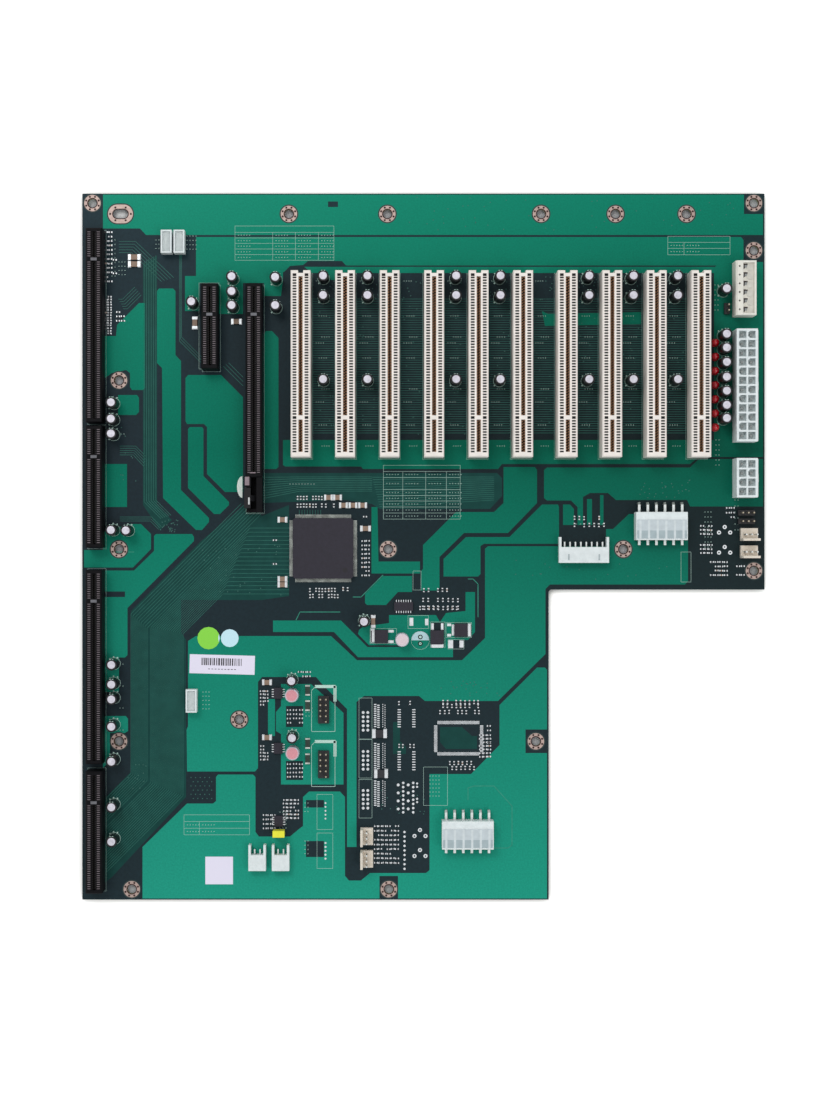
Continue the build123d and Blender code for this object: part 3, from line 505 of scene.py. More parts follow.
def add_grain(tree, shader, size, depth, strength=0.4):
    """Fine bumps about as wide as size and as high as depth."""
    inputs = {"Strength": strength, "Distance": depth, "Height": add_noise(tree, size, 2.0)}
    tree.links.new(add_node(tree, "ShaderNodeBump", inputs).outputs["Normal"], shader.inputs["Normal"])


def add_tone(tree, colour, size, detail, darkest, lightest):
    """The same colour, darker and lighter in patches about as large as size."""
    level = add_map(tree, add_noise(tree, size, detail), 0.3, 0.7, darkest, lightest)
    inputs = {0: colour, "Scale": level}
    return add_node(tree, "ShaderNodeVectorMath", inputs, operation="SCALE").outputs["Vector"]


# Y of the row where the board is darkest
DARKEST_ROW = 45.0 * MM


def blend_over_board(tree, south, middle, north):
    """Colour that changes slowly over the board, lighter in some areas and darker in others, darkest along
    one row.

    Each row has its west and its east colour.
    """
    place = add_node(tree, "ShaderNodeSeparateXYZ", {"Vector": object_place(tree)}).outputs
    across = add_map(tree, place["X"], BOARD_LOW.x, BOARD_HIGH.x)
    rows = [add_mix(tree, across, linear(west), linear(east)) for west, east in (south, middle, north)]
    southern = add_mix(tree, add_map(tree, place["Y"], BOARD_LOW.y, DARKEST_ROW), rows[0], rows[1])
    return add_mix(tree, add_map(tree, place["Y"], DARKEST_ROW, BOARD_HIGH.y), southern, rows[2])


def moulded_nylon(name, colour, roughness, flow, cloudy=0.0, gloss=0.2):
    """Nylon, injection moulded: a satin skin with faint flow patches, and pale cells where light gets in."""
    material, tree, shader = start_material(name, colour, roughness, Specular_IOR_Level=gloss)
    if cloudy:
        shader.inputs["Subsurface Weight"].default_value = cloudy
        shader.inputs["Subsurface Radius"].default_value = (1.0, 1.0, 1.0)
        shader.inputs["Subsurface Scale"].default_value = 3 * MM
    add_mottle(tree, shader, shade(colour, 0.9), shade(colour, 1.05), flow)
    add_grain(tree, shader, 0.25 * MM, 0.012 * MM)
    return material


def plated_metal(name, colour, roughness, dullest=0.8, patch=1.2 * MM):
    """Plated pins and contacts: bright metal, duller in patches where the plating is thin."""
    material, tree, shader = start_material(name, colour, roughness, Metallic=1.0)
    add_mottle(tree, shader, shade(colour, dullest), shade(colour, 1.05), patch)
    add_grain(tree, shader, 0.3 * MM, 0.01 * MM)
    return material


def mask_over_copper():
    """Epoxy solder mask, screened over copper: glossy green that shifts slowly over the board."""
    material, tree, shader = start_material(
        "mask_over_copper", colours().mask, 0.38, Specular_IOR_Level=0.06,
    )
    field = blend_over_board(tree, ("#21957f", "#17937c"), ("#00705a", "#005341"), ("#118b71", "#0a7760"))
    tree.links.new(add_tone(tree, field, 0.8 * MM, 4.0, 0.9, 1.08), shader.inputs["Base Color"])
    add_grain(tree, shader, 0.5 * MM, 0.01 * MM, 0.3)
    return material


def mask_over_edge(name):
    """The same mask along the edge of the copper: a fine pale green line, a painted highlight where the
    copper's edge catches the light.
    """
    material, tree, shader = start_material(name, linear("#45937f"), 0.4, Specular_IOR_Level=0.2)
    add_mottle(tree, shader, linear("#237a64"), linear("#399480"), 2 * MM)
    return material


# Pale mask of the painted highlight along the copper's edges
EDGE_HIGHLIGHT_MASK = ("mask_over_edge", mask_over_edge)


def mask_over_traces():
    """The same mask between close traces: darker green, as little copper lies below it."""
    material, tree, shader = start_material(
        "mask_over_traces", linear("#14433e"), 0.4, Specular_IOR_Level=0.1,
    )
    add_mottle(tree, shader, linear("#0a3935"), linear("#11423e"), 5 * MM)
    add_grain(tree, shader, 0.5 * MM, 0.01 * MM, 0.3)
    return material


def masked_trace():
    """Copper trace under the mask: a green line a little lighter than the board beside it."""
    material, tree, shader = start_material("masked_trace", linear("#3b7f72"), 0.4, Specular_IOR_Level=0.2)
    add_mottle(tree, shader, linear("#1b564d"), linear("#2a6c60"), 4 * MM)
    return material


def laminate(name):
    """Glass cloth pressed in epoxy, masked on both faces: slate faces with a faint weave, tan sawn edges."""
    material, tree, shader = start_material(name, colours().bare, 0.42, Specular_IOR_Level=0.12)
    field = blend_over_board(tree, ("#16272d", "#1a2a30"), ("#15252d", "#05191b"), ("#152c34", "#13282d"))
    woven = add_tone(tree, field, 1.4 * MM, 3.0, 0.88, 1.12)
    normal = add_node(tree, "ShaderNodeNewGeometry").outputs["Normal"]
    rise = add_node(tree, "ShaderNodeSeparateXYZ", {"Vector": normal}).outputs["Z"]
    underside = add_math(tree, "LESS_THAN", rise, -0.5)
    level = add_math(tree, "GREATER_THAN", add_math(tree, "ABSOLUTE", rise), 0.5)
    faces = add_mix(tree, underside, woven, colours().mask)
    tree.links.new(add_mix(tree, level, linear("#8d8a5c"), faces), shader.inputs["Base Color"])
    add_grain(tree, shader, 0.6 * MM, 0.012 * MM, 0.3)
    return material


LAMINATE = ("masked_laminate", laminate)


def printed_ink(name, code):
    """Ink screened on the mask: matt, with thin spots."""
    material, tree, shader = start_material(name, linear(code), 0.7)
    add_mottle(tree, shader, shade(linear(code), 0.85), shade(linear(code), 1.0), 0.6 * MM)
    return material


def plain_epoxy(name, code, roughness):
    """Moulded epoxy of chips: a fine dull grain with faint clouding."""
    material, tree, shader = start_material(name, linear(code), roughness, Specular_IOR_Level=0.3)
    add_mottle(tree, shader, shade(linear(code), 0.8), shade(linear(code), 1.15), 1.5 * MM)
    add_grain(tree, shader, 0.15 * MM, 0.01 * MM)
    return material


def shared(name, maker, *details):
    """Material of that name, made the first time that it is asked for."""
    found = bpy.data.materials.get(name)
    if found is None:
        found = maker(name, *details)
    return found


# Plain moulded, coated and worn surfaces, and painted shades and highlights: a colour and a roughness
PLAIN_SURFACES = {
    "unlit_recess": ("#0b0b0d", 0.8),
    "bare_gap_laminate": ("#1a2f2f", 0.5),
    "dark_plated_hole": ("#2a0b09", 0.6),
    "black_nylon_recess": ("#050506", 0.85),
    "shaded_spring_bronze": ("#0f0b0a", 0.5),
    "dull_red_bronze": ("#7f757b", 0.6),
    "worn_black_nylon": ("#65666c", 0.5),
    "shrunk_vinyl_sleeve": ("#0d0d11", 0.35),
    "moulded_black_header": ("#1d1d20", 0.5),
    "moulded_chip_epoxy": ("#1f1c28", 0.55),
    "coated_fuse_laminate": ("#25352e", 0.5),
    "fired_tan_ceramic": ("#8a7464", 0.45),
    "glazed_black_resistor": ("#25262b", 0.45),
    "masked_via": ("#35685f", 0.5),
    "polished_dimple": ("#18161d", 0.35),
    "shaded_nylon_recess": ("#a5b1b5", 0.6),
    "shaded_notch": ("#2c2320", 0.7),
    "scuffed_nylon": ("#86787f", 0.5),
    "polished_latch_edge": ("#c9cccd", 0.3),
}

# Inks and paints; the thin print is broken up, so it looks cool over the green
INKS = {
    "white_screened_ink": "#bcded3",
    "thick_white_ink": "#e6f3ec",
    "thin_white_ink": "#b4d3da",
    "black_label_ink": "#23232a",
    "rolled_pink_paint": "#d9949e",
    "rolled_pale_paint": "#dccbd2",
}


def plain(name):
    """Plain surface of that name."""
    return shared(name, plain_epoxy, *PLAIN_SURFACES[name])


def ink(name):
    """Ink or paint of that name."""
    return shared(name, printed_ink, INKS[name])


def solder():
    """Tinned pads and solder: soft bright grey metal."""
    return shared("bright_solder", plated_metal, linear("#c9cdd0"), 0.35)


def add_box(mesh, centre, size, turn=0.0):
    """Box with its middle at centre, turned about Z."""
    matrix = Matrix.Translation(centre) @ Matrix.Rotation(turn, 4, "Z") @ Matrix.Diagonal((*size, 1))
    bmesh.ops.create_cube(mesh, size=1, matrix=matrix)


def add_pixel_boxes(mesh, rows, low, high):
    """Boxes given in pixels, each by its middle and its size."""
    for x, y, length, width in rows:
        add_box(mesh, (*spot(x, y), (low + high) / 2), (length * PIXEL, width * PIXEL, high - low))


def add_bar(mesh, start, end, width, low, high):
    """Straight bar on the board from start to end."""
    run = end - start
    middle = (start + end) / 2
    centre = (*middle, (low + high) / 2)
    add_box(mesh, centre, (run.length + width * 0.4, width, high - low), math.atan2(run.y, run.x))


def add_path(mesh, points, width, low=PRINT_LOW, high=PRINT_LOW + PRINT_THICKNESS):
    """Bars from point to point."""
    for start, end in zip(points, points[1:]):
        add_bar(mesh, Vector(start), Vector(end), width, low, high)


def raise_faces(mesh, faces, height):
    """Give flat faces a thickness."""
    grown = bmesh.ops.extrude_face_region(mesh, geom=faces)["geom"]
    verts = [item for item in grown if isinstance(item, bmesh.types.BMVert)]
    bmesh.ops.translate(mesh, vec=(0, 0, height), verts=verts)


def add_plate(mesh, outline, low, high, rim=0.0):
    """Plate with a straight-sided outline, with a rim of the second material when asked."""
    verts = [mesh.verts.new((*point, low)) for point in outline]
    face = mesh.faces.new(verts)
    faces = [face]
    if rim:
        inset = bmesh.ops.inset_region(mesh, faces=[face], thickness=rim, use_even_offset=True)["faces"]
        for border in inset:
            border.material_index = 1
        faces = faces + inset
    raise_faces(mesh, faces, high - low)


def add_disc(mesh, centre, radius, low, high, segments=16):
    """Flat round plate or short upright post."""
    matrix = Matrix.Translation((*centre, (low + high) / 2))
    bmesh.ops.create_cone(
        mesh, cap_ends=True, segments=segments, radius1=radius, radius2=radius, depth=high - low,
        matrix=matrix,
    )


def add_ring(mesh, centre, inner, outer, low, high, segments=40, stretch=0.0):
    """Flat ring, stretched along X when it goes round a long hole."""
    edges = []
    for radius in (inner, outer):
        matrix = Matrix.Translation((*centre, low))
        verts = bmesh.ops.create_circle(mesh, segments=segments, radius=radius, matrix=matrix)["verts"]
        for vert in verts:
            if abs(vert.co.x - centre[0]) > radius * 0.02:
                vert.co.x += math.copysign(stretch, vert.co.x - centre[0])
        edges = edges + list({edge for vert in verts for edge in vert.link_edges})
    faces = bmesh.ops.bridge_loops(mesh, edges=edges)["faces"]
    raise_faces(mesh, faces, high - low)


def mesh_data(name, mesh):
    """Blender's own mesh of a working mesh, which ends there."""
    data = bpy.data.meshes.new(name)
    mesh.to_mesh(data)
    mesh.free()
    return data


def add_object(name, data):
    """Object with that data, in the scene."""
    made = bpy.data.objects.new(name, data)
    bpy.context.scene.collection.objects.link(made)
    return made


def add_piece(name, mesh, materials, body=BODY):
    """Close a mesh as a piece of the object that rides on a body."""
    bmesh.ops.recalc_face_normals(mesh, faces=mesh.faces)
    piece = add_object(name, mesh_data(name, mesh))
    for material in materials:
        piece.data.materials.append(material)
    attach(piece, body)
    return piece


def copy_to(mesh, places):
    """Repeat what the mesh holds, which is made round the origin, at each place."""
    first = list(mesh.verts)
    pattern = first + list(mesh.edges) + list(mesh.faces)
    for place in places[1:]:
        made = bmesh.ops.duplicate(mesh, geom=pattern)["geom"]
        verts = [item for item in made if isinstance(item, bmesh.types.BMVert)]
        bmesh.ops.translate(mesh, vec=(*place, 0), verts=verts)
    bmesh.ops.translate(mesh, vec=(*places[0], 0), verts=first)


def add_turned(mesh, profile, segments):
    """Turn a profile of radius and height about Z, with each end closed on the axis."""
    verts = [mesh.verts.new((radius, 0, height)) for radius, height in profile]
    edges = [mesh.edges.new(pair) for pair in zip(verts, verts[1:])]
    bmesh.ops.spin(
        mesh, geom=verts + edges, cent=(0, 0, 0), axis=(0, 0, 1), angle=math.tau, steps=segments,
        use_merge=True,
    )
    bmesh.ops.remove_doubles(mesh, verts=mesh.verts, dist=0.001 * MM)


def flat_spots(points):
    """Places on the board of a list of pixels."""
    return [spot(x, y) for x, y in points]


def grid(corner, step, counts):
    """Pixels of a grid, column by column."""
    return [
        (corner[0] + step[0] * column, corner[1] + step[1] * row)
        for column in range(counts[0]) for row in range(counts[1])
    ]


def centred_row(count, pitch):
    """Distances of evenly spaced things from the middle of their row."""
    return [(index - (count - 1) / 2) * pitch for index in range(count)]


# Screw holes and the long hole, as from_edges takes them
SCREW_HOLES = [
    (4.7, -4.4), (-4.9, -4.4), (95.7, -9.4), (141.3, -9.4), (-103.5, -9.4), (-69.0, -9.4), (-36.1, -9.4),
    (-4.9, -26.3), (17.0, -86.5), (17.0, -164.7), (141.7, -164.7), (-65.4, -164.7), (-4.9, -174.7),
    (72.7, 83.4), (17.0, 73.3), (210.1, 73.3), (22.9, 4.8), (142.0, 4.8),
]
LONG_HOLE = (17.7, -9.4)
HOLE_RADIUS = 2.0 * MM
LONG_HOLE_REACH = 1.4 * MM


def from_edges(distances):
    """Place on the board of two distances in mm, from the west and south edges, or from the east and north
    edges where they are less than 0."""
    x, y = distances
    return Vector((
        (BOARD_LOW.x if x > 0 else BOARD_HIGH.x) + x * MM,
        (BOARD_LOW.y if y > 0 else BOARD_HIGH.y) + y * MM,
    ))


def clear_screw_holes(piece, reach):
    """Cut a round opening at each screw hole out of a piece that lies on the board."""
    mesh = bmesh.new()
    low, high = BOARD_TOP - 1 * MM, BOARD_TOP + 1 * MM
    for hole in SCREW_HOLES:
        add_disc(mesh, from_edges(hole), reach, low, high, 32)
    long_hole = from_edges(LONG_HOLE)
    add_box(mesh, (*long_hole, BOARD_TOP), (2 * LONG_HOLE_REACH, 2 * reach, high - low))
    for side in (-1, 1):
        add_disc(mesh, long_hole + Vector((side * LONG_HOLE_REACH, 0)), reach * 0.999, low, high, 32)
    cutter = add_object("screw_hole_cutter", mesh_data("screw_hole_cutter", mesh))
    cut = piece.modifiers.new("screw_holes", "BOOLEAN")
    cut.operation = "DIFFERENCE"
    cut.solver = "EXACT"
    cut.use_self = True
    cut.object = cutter
    graph = bpy.context.evaluated_depsgraph_get()
    cleared = bpy.data.meshes.new_from_object(piece.evaluated_get(graph))
    piece.modifiers.remove(cut)
    piece.data = cleared
    bpy.data.objects.remove(cutter)


class BACKPLANE_OT_board_face(bpy.types.Operator):
    """Copper areas and trace fields under the mask."""

    bl_idname = "backplane.board_face"
    bl_label = "Board face"

    def execute(self, context):
        edge = 0.45 * MM
        mesh = bmesh.new()
        # Each copper area gets a rim in the pale mask of the painted edge highlight
        for outline in POURS:
            add_plate(mesh, flat_spots(outline), BOARD_TOP, BOARD_TOP + MASK_THICKNESS, edge)
        masks = [mask_over_copper(), shared(*EDGE_HIGHLIGHT_MASK)]
        areas = add_piece("masked_copper_areas", mesh, masks)
        clear_screw_holes(areas, sizes().ring_diameter / 2 + 0.2 * MM)
        mesh = bmesh.new()
        for outline in TRACE_FIELDS:
            add_plate(mesh, flat_spots(outline), BOARD_TOP, BOARD_TOP + MASK_THICKNESS / 3)
        add_piece("trace_fields", mesh, [mask_over_traces()])
        mesh = bmesh.new()
        for corner, opposite in DARK_SQUARES:
            start, end = spot(*corner), spot(*opposite)
            middle = (start + end) / 2
            centre = (*middle, BOARD_TOP + MASK_THICKNESS * 0.6)
            add_box(mesh, centre, (end.x - start.x, start.y - end.y, MASK_THICKNESS))
        patches = add_piece("bare_patches", mesh, [shared(*LAMINATE)])
        clear_screw_holes(patches, HOLE_RADIUS)
        return {"FINISHED"}


def lanes(first_edge, second_edge, count):
    """Paths that run side by side between two edge paths."""
    first = flat_spots(first_edge)
    second = flat_spots(second_edge)
    paths = []
    for lane in range(count):
        share = (lane + 0.5) / count
        paths.append([start.lerp(end, share) for start, end in zip(first, second)])
    return paths


class BACKPLANE_OT_traces(bpy.types.Operator):
    """Copper traces that show through the mask."""

    bl_idname = "backplane.traces"
    bl_label = "Traces"

    def execute(self, context):
        width = sizes().trace_width
        low = BOARD_TOP
        high = BOARD_TOP + MASK_THICKNESS
        mesh = bmesh.new()
        for first_edge, second_edge, count in BUNDLES:
            for path in lanes(first_edge, second_edge, count):
                add_path(mesh, path, width, low, high)
        start, end, step = SLOT_TRACE_ROWS
        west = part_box(LONG_SLOTS[0])[1].x
        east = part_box(LONG_SLOTS[-1])[0].x
        for row in range(int((end - start) / step)):
            y = spot(0, start + row * step).y
            add_bar(mesh, Vector((west, y)), Vector((east, y)), width, low, low + MASK_THICKNESS / 2)
        add_piece("masked_traces", mesh, [masked_trace()])
        mesh = bmesh.new()
        for path in BRIGHT_TRACES:
            add_path(mesh, flat_spots(path), width * 1.6, low, high + 0.01 * MM)
        # The bright traces are drawn in the same pale mask as the painted edge highlight
        add_piece("bright_traces", mesh, [shared(*EDGE_HIGHLIGHT_MASK)])
        return {"FINISHED"}


class BACKPLANE_OT_screw_rings(bpy.types.Operator):
    """Bare copper rings round the screw holes, each with small vias."""

    bl_idname = "backplane.screw_rings"
    bl_label = "Screw rings"

    def execute(self, context):
        outer = sizes().ring_diameter / 2
        lip = 0.45 * MM
        low = BOARD_TOP
        high = BOARD_TOP + MASK_THICKNESS + 0.02 * MM
        copper = bmesh.new()
        vias = bmesh.new()
        gaps = bmesh.new()
        places = [(from_edges(hole), 0.0, 8, 0.5) for hole in SCREW_HOLES]
        places.append((from_edges(LONG_HOLE), LONG_HOLE_REACH, 6, 0.0))
        for centre, stretch, count, turn in places:
            rim = outer + stretch * 0.4
            add_ring(copper, centre, HOLE_RADIUS + lip, rim, low, high, stretch=stretch)
            add_ring(vias, centre, HOLE_RADIUS + 0.02 * MM, HOLE_RADIUS + lip, low, high, stretch=stretch)
            add_ring(gaps, centre, rim, rim + 0.55 * MM, low, high - 0.01 * MM, stretch=stretch)
            middle = (HOLE_RADIUS + lip + rim) / 2
            for index in range(count):
                angle = math.tau * (index + turn) / count
                offset = Vector((math.cos(angle) * (middle + stretch), math.sin(angle) * middle))
                add_disc(vias, centre + offset, 0.5 * MM, low, high + 0.01 * MM, 10)
        rings = shared("bare_copper_ring", plated_metal, linear("#a4918a"), 0.5)
        add_piece("copper_rings", copper, [rings])
        add_piece("ring_gaps", gaps, [plain("bare_gap_laminate")])
        add_piece("ring_vias", vias, [plain("dark_plated_hole")])
        return {"FINISHED"}


# Contacts of a slot: the gap at its north end and its south end, how far its key is from the north, and the
# key's width
LONG_ROWS = (2.8 * MM, 2.3 * MM, 67.2 * MM, 1.9 * MM)
LOW_ROWS = (1.6 * MM, 1.6 * MM, 14.3 * MM, 1.8 * MM)

# Windows in a slot's top, springs in its groove, how far the windows are from its middle, and the groove
LONG_CONTACTS = {
    "window": (1.75 * MM, 0.74 * MM), "spring": (0.72 * MM, 0.62 * MM, 4 * MM), "reach": 2.75 * MM,
    "groove": 1.9 * MM,
}
LOW_CONTACTS = {
    "window": (1.6 * MM, 0.6 * MM), "spring": (0.55 * MM, 0.5 * MM, 3 * MM), "reach": 2.1 * MM,
    "groove": 1.75 * MM,
}
SPRING_DEPTH = 0.9 * MM
LONG_LOW_BODY = 89 * MM


def slot_rows(low, high, pitch, first_gap, last_gap, key_offset, key_width):
    """Y of each contact of a card slot, north of the key and then south of it."""
    key_y = high.y - key_offset
    north_count = round((high.y - first_gap - key_y - key_width / 2) / pitch)
    south_count = round((key_y - key_width / 2 - low.y - last_gap) / pitch)
    rows = [key_y + key_width / 2 + (index + 0.5) * pitch for index in range(north_count)]
    return rows, [key_y - key_width / 2 - (index + 0.5) * pitch for index in range(south_count)]


def low_slot_boxes():
    """Box of each low slot; the latch bay of the long one is left out."""
    low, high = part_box(LONG_LOW_SLOT)
    return [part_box(name) for name in LOW_SLOTS] + [(Vector((low.x, high.y - LONG_LOW_BODY, low.z)), high)]


def contact_rows(windows, springs, box, rows, window, spring, reach, groove):
    """Dark films that paint the shade in the windows of a slot's top, and springs that lean into its groove
    from both sides.
    """
    low, high = box
    middle = (low.x + high.x) / 2
    for y in rows:
        for side in (-1, 1):
            add_box(windows, (middle + side * reach, y, high.z + FILM / 2), (*window, FILM))
            x = middle + side * (groove - spring[0]) / 2
            stagger = side * spring[1] * 0.35
            add_box(springs, (x, y + stagger, high.z - SPRING_DEPTH - spring[2] / 2), spring)


class BACKPLANE_OT_long_slot_contacts(bpy.types.Operator):
    """Painted shade in the windows and the groove of the ten long slots, and their contacts."""

    bl_idname = "backplane.long_slot_contacts"
    bl_label = "Long slot contacts"

    def execute(self, context):
        pitch = sizes().long_pitch
        reach = LONG_CONTACTS["reach"]
        windows = bmesh.new()
        springs = bmesh.new()
        for name in LONG_SLOTS:
            low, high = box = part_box(name)
            north, south = slot_rows(low, high, pitch, *LONG_ROWS)
            contact_rows(windows, springs, box, north + south, **LONG_CONTACTS)
            middle = (low.x + high.x) / 2
            # Two larger dark films at the north end and beside the key: painted shade in the windows there
            for side in (-1, 1):
                for y in (north[-1] + pitch, south[0] + pitch * 1.2):
                    centre = (middle + side * reach, y, high.z + FILM / 2)
                    add_box(windows, centre, (1.7 * MM, 1.25 * MM, FILM))
            # A dark block deep in the groove paints the shade at its bottom, under each row of contacts
            for rows in (north, south):
                bed = (middle, (rows[0] + rows[-1]) / 2, high.z - 5.4 * MM)
                run = abs(rows[-1] - rows[0]) + pitch
                add_box(windows, bed, (LONG_CONTACTS["groove"] * 0.98, run, 1.4 * MM))
        add_piece("long_slot_windows", windows, [plain("unlit_recess")])
        aged = shared("aged_spring_bronze", plated_metal, linear("#8c6a52"), 0.45)
        add_piece("long_slot_springs", springs, [aged])
        return {"FINISHED"}


class BACKPLANE_OT_low_slot_contacts(bpy.types.Operator):
    """Painted shade in the windows of the low slots, and their contacts."""

    bl_idname = "backplane.low_slot_contacts"
    bl_label = "Low slot contacts"

    def execute(self, context):
        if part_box(LATCH)[1].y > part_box(LONG_LOW_SLOT)[1].y:
            raise RuntimeError("the latch isn't in its bay")
        windows = bmesh.new()
        springs = bmesh.new()
        keys = bmesh.new()
        ticks = bmesh.new()
        for low, high in low_slot_boxes():
            north, south = slot_rows(low, high, sizes().low_pitch, *LOW_ROWS)
            contact_rows(windows, springs, (low, high), north + south, **LOW_CONTACTS)
            middle = (low.x + high.x) / 2
            for y in north + south:
                for side in (-1, 1):
                    x = middle + side * 2.15 * MM
                    add_box(ticks, (x, y, high.z + 0.03 * MM), (1.35 * MM, 0.25 * MM, FILM))
            key = (middle, high.y - LOW_ROWS[2], high.z + FILM)
            add_box(keys, key, (2.8 * MM, 1.3 * MM, 2 * FILM))
        # The windows are dark films of painted shade
        add_piece("low_slot_windows", windows, [plain("black_nylon_recess")])
        add_piece("low_slot_springs", springs, [plain("shaded_spring_bronze")])
        add_piece("low_slot_ticks", ticks, [plain("dull_red_bronze")])
        add_piece("low_slot_keys", keys, [plain("worn_black_nylon")])
        return {"FINISHED"}


def places_of(node):
    """Middle of each separate solid of a node, from its mesh's loose parts."""
    mesh = bmesh.new()
    mesh.from_mesh(frame["nodes"][node].data)
    bmesh.ops.remove_doubles(mesh, verts=mesh.verts, dist=0.001 * MM)
    seen = set()
    middles = []
    for start in mesh.verts:
        if start in seen:
            continue
        group = {start}
        edge = [start]
        while edge:
            vert = edge.pop()
            near = {link.other_vert(vert) for link in vert.link_edges} - group
            group |= near
            edge.extend(near)
        seen |= group
        xs = [vert.co.x for vert in group]
        ys = [vert.co.y for vert in group]
        middles.append(Vector(((min(xs) + max(xs)) / 2, (min(ys) + max(ys)) / 2)))
    mesh.free()
    return middles


# Angles of the thick spots on the printed ring round a capacitor
POLARITY_MARKS = (1.1, 1.7, 2.3, 3.9)


class BACKPLANE_OT_capacitors(bpy.types.Operator):
    """Small electrolytic capacitors: a sleeve, a rounded rim and a bare pressed top."""

    bl_idname = "backplane.capacitors"
    bl_label = "Capacitors"

    def execute(self, context):
        low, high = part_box("electrolytic_capacitors")
        places = places_of("electrolytic_capacitors")
        radius = 2.6 * MM
        lid = 1.8 * MM
        shoulder = sizes().can_shoulder
        sleeves = bmesh.new()
        add_turned(sleeves, [
            (0, low.z), (radius * 0.9, low.z), (radius * 0.97, low.z + 0.5 * MM),
            (radius * 0.9, low.z + 1.0 * MM), (radius, low.z + 1.5 * MM), (radius, high.z - shoulder),
            (radius - shoulder * 0.3, high.z - shoulder * 0.3), (radius - shoulder, high.z), (lid, high.z),
            (lid, high.z - 0.15 * MM), (0, high.z - 0.15 * MM),
        ], 24)
        copy_to(sleeves, places)
        sleeve = add_piece("capacitor_sleeves", sleeves, [plain("shrunk_vinyl_sleeve")])
        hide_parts("electrolytic_capacitors")
        lids = bmesh.new()
        lid_edge = lid - 0.02 * MM
        add_turned(lids, [
            (0, high.z - 0.1 * MM), (lid_edge, high.z - 0.1 * MM), (lid_edge, high.z - 0.03 * MM),
            (lid * 0.9, high.z), (0, high.z),
        ], 24)
        copy_to(lids, places)
        add_piece("capacitor_tops", lids, [shared(*CAN_METAL)])
        marks = bmesh.new()
        rings = bmesh.new()
        print_high = PRINT_LOW + PRINT_THICKNESS
        for place in places:
            for side in (-1, 1):
                north = place + Vector((side * 0.55 * MM, radius - 0.35 * MM))
                add_box(marks, (*north, high.z - 0.1 * MM), (0.6 * MM, 0.5 * MM, 0.1 * MM))
            add_ring(rings, place, radius + 0.1 * MM, radius + 0.25 * MM, PRINT_LOW, print_high, 24)
            for angle in POLARITY_MARKS:
                mark = place + Vector((math.cos(angle), math.sin(angle))) * (radius + 0.35 * MM)
                size = (0.9 * MM, 0.6 * MM, 2 * PRINT_THICKNESS)
                add_box(rings, (*mark, PRINT_LOW), size, angle)
        add_piece("capacitor_marks", marks, [ink("white_screened_ink")])
        add_piece("capacitor_print", rings, [ink("white_screened_ink")])
        return {"FINISHED"}


def pressed_aluminium(name):
    """Bare aluminium, pressed and wiped: soft bright lavender grey with faint streaks."""
    material, tree, shader = start_material(name, linear("#c0bec8"), 0.5, Metallic=0.5)
    add_mottle(tree, shader, linear("#b0aeb8"), linear("#cdcbd5"), 1.6 * MM)
    add_grain(tree, shader, 0.2 * MM, 0.008 * MM)
    return material


CAN_METAL = ("pressed_aluminium", pressed_aluminium)


class BACKPLANE_OT_polymer_capacitors(bpy.types.Operator):
    """Polymer capacitors: bare cans with a painted top."""

    bl_idname = "backplane.polymer_capacitors"
    bl_label = "Polymer capacitors"

    def execute(self, context):
        low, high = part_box("polymer_capacitors")
        places = places_of("polymer_capacitors")
        radius = 3.15 * MM
        cans = bmesh.new()
        add_turned(cans, [
            (0, low.z), (radius, low.z), (radius, low.z + 1.2 * MM), (radius * 0.93, low.z + 1.6 * MM),
            (radius * 0.93, low.z + 2.1 * MM), (radius, low.z + 2.5 * MM), (radius, high.z - 0.4 * MM),
            (radius - 0.4 * MM, high.z), (0, high.z),
        ], 32)
        copy_to(cans, places)
        can = add_piece("polymer_cans", cans, [shared(*CAN_METAL)])
        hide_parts("polymer_capacitors")
        tops = bmesh.new()
        pale = bmesh.new()
        supply_corner = spot(*HALF_DISC[:2]).x - 15 * MM
        for place in places:
            mesh = pale if place.x > supply_corner else tops
            add_disc(mesh, place, radius - 0.55 * MM, high.z - FILM, high.z + FILM, 32)
        add_piece("polymer_tops", tops, [ink("rolled_pink_paint")])
        add_piece("pale_polymer_top", pale, [ink("rolled_pale_paint")])
        return {"FINISHED"}


class BACKPLANE_OT_status_lights(bpy.types.Operator):
    """Status lights: a flange and a domed lens."""

    bl_idname = "backplane.status_lights"
    bl_label = "Status lights"

    def execute(self, context):
        low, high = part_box("status_leds")
        places = places_of("status_leds")
        radius = 1.9 * MM
        lenses = bmesh.new()
        dome = radius * 0.92
        profile = [(0, low.z), (radius, low.z), (radius, low.z + 0.8 * MM), (dome, low.z + 0.9 * MM)]
        steps = 6
        for step in range(steps + 1):
            angle = math.pi / 2 * step / steps
            profile.append((dome * math.cos(angle), high.z - dome + dome * math.sin(angle)))
        add_turned(lenses, profile, 24)
        copy_to(lenses, places)
        epoxy, tree, shader = start_material("tinted_red_epoxy", colours().led, 0.12, Coat_Weight=0.6)
        add_mottle(tree, shader, shade(colours().led, 0.6), shade(colours().led, 1.3), 1.2 * MM)
        lens = add_piece("light_lenses", lenses, [epoxy])
        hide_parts("status_leds")
        return {"FINISHED"}


# Pins that stand in the shade of a cell, and the middles and radius of the round labels
CELL_PINS = ("atx_power_pins", "cpu_power_pins", "upright_power_pins", "signal_header_pins")
GREEN_LABEL = (58.5, 121.1)
BLUE_LABEL = (68.3, 121.1)
LABEL_RADIUS = 5.3 * MM


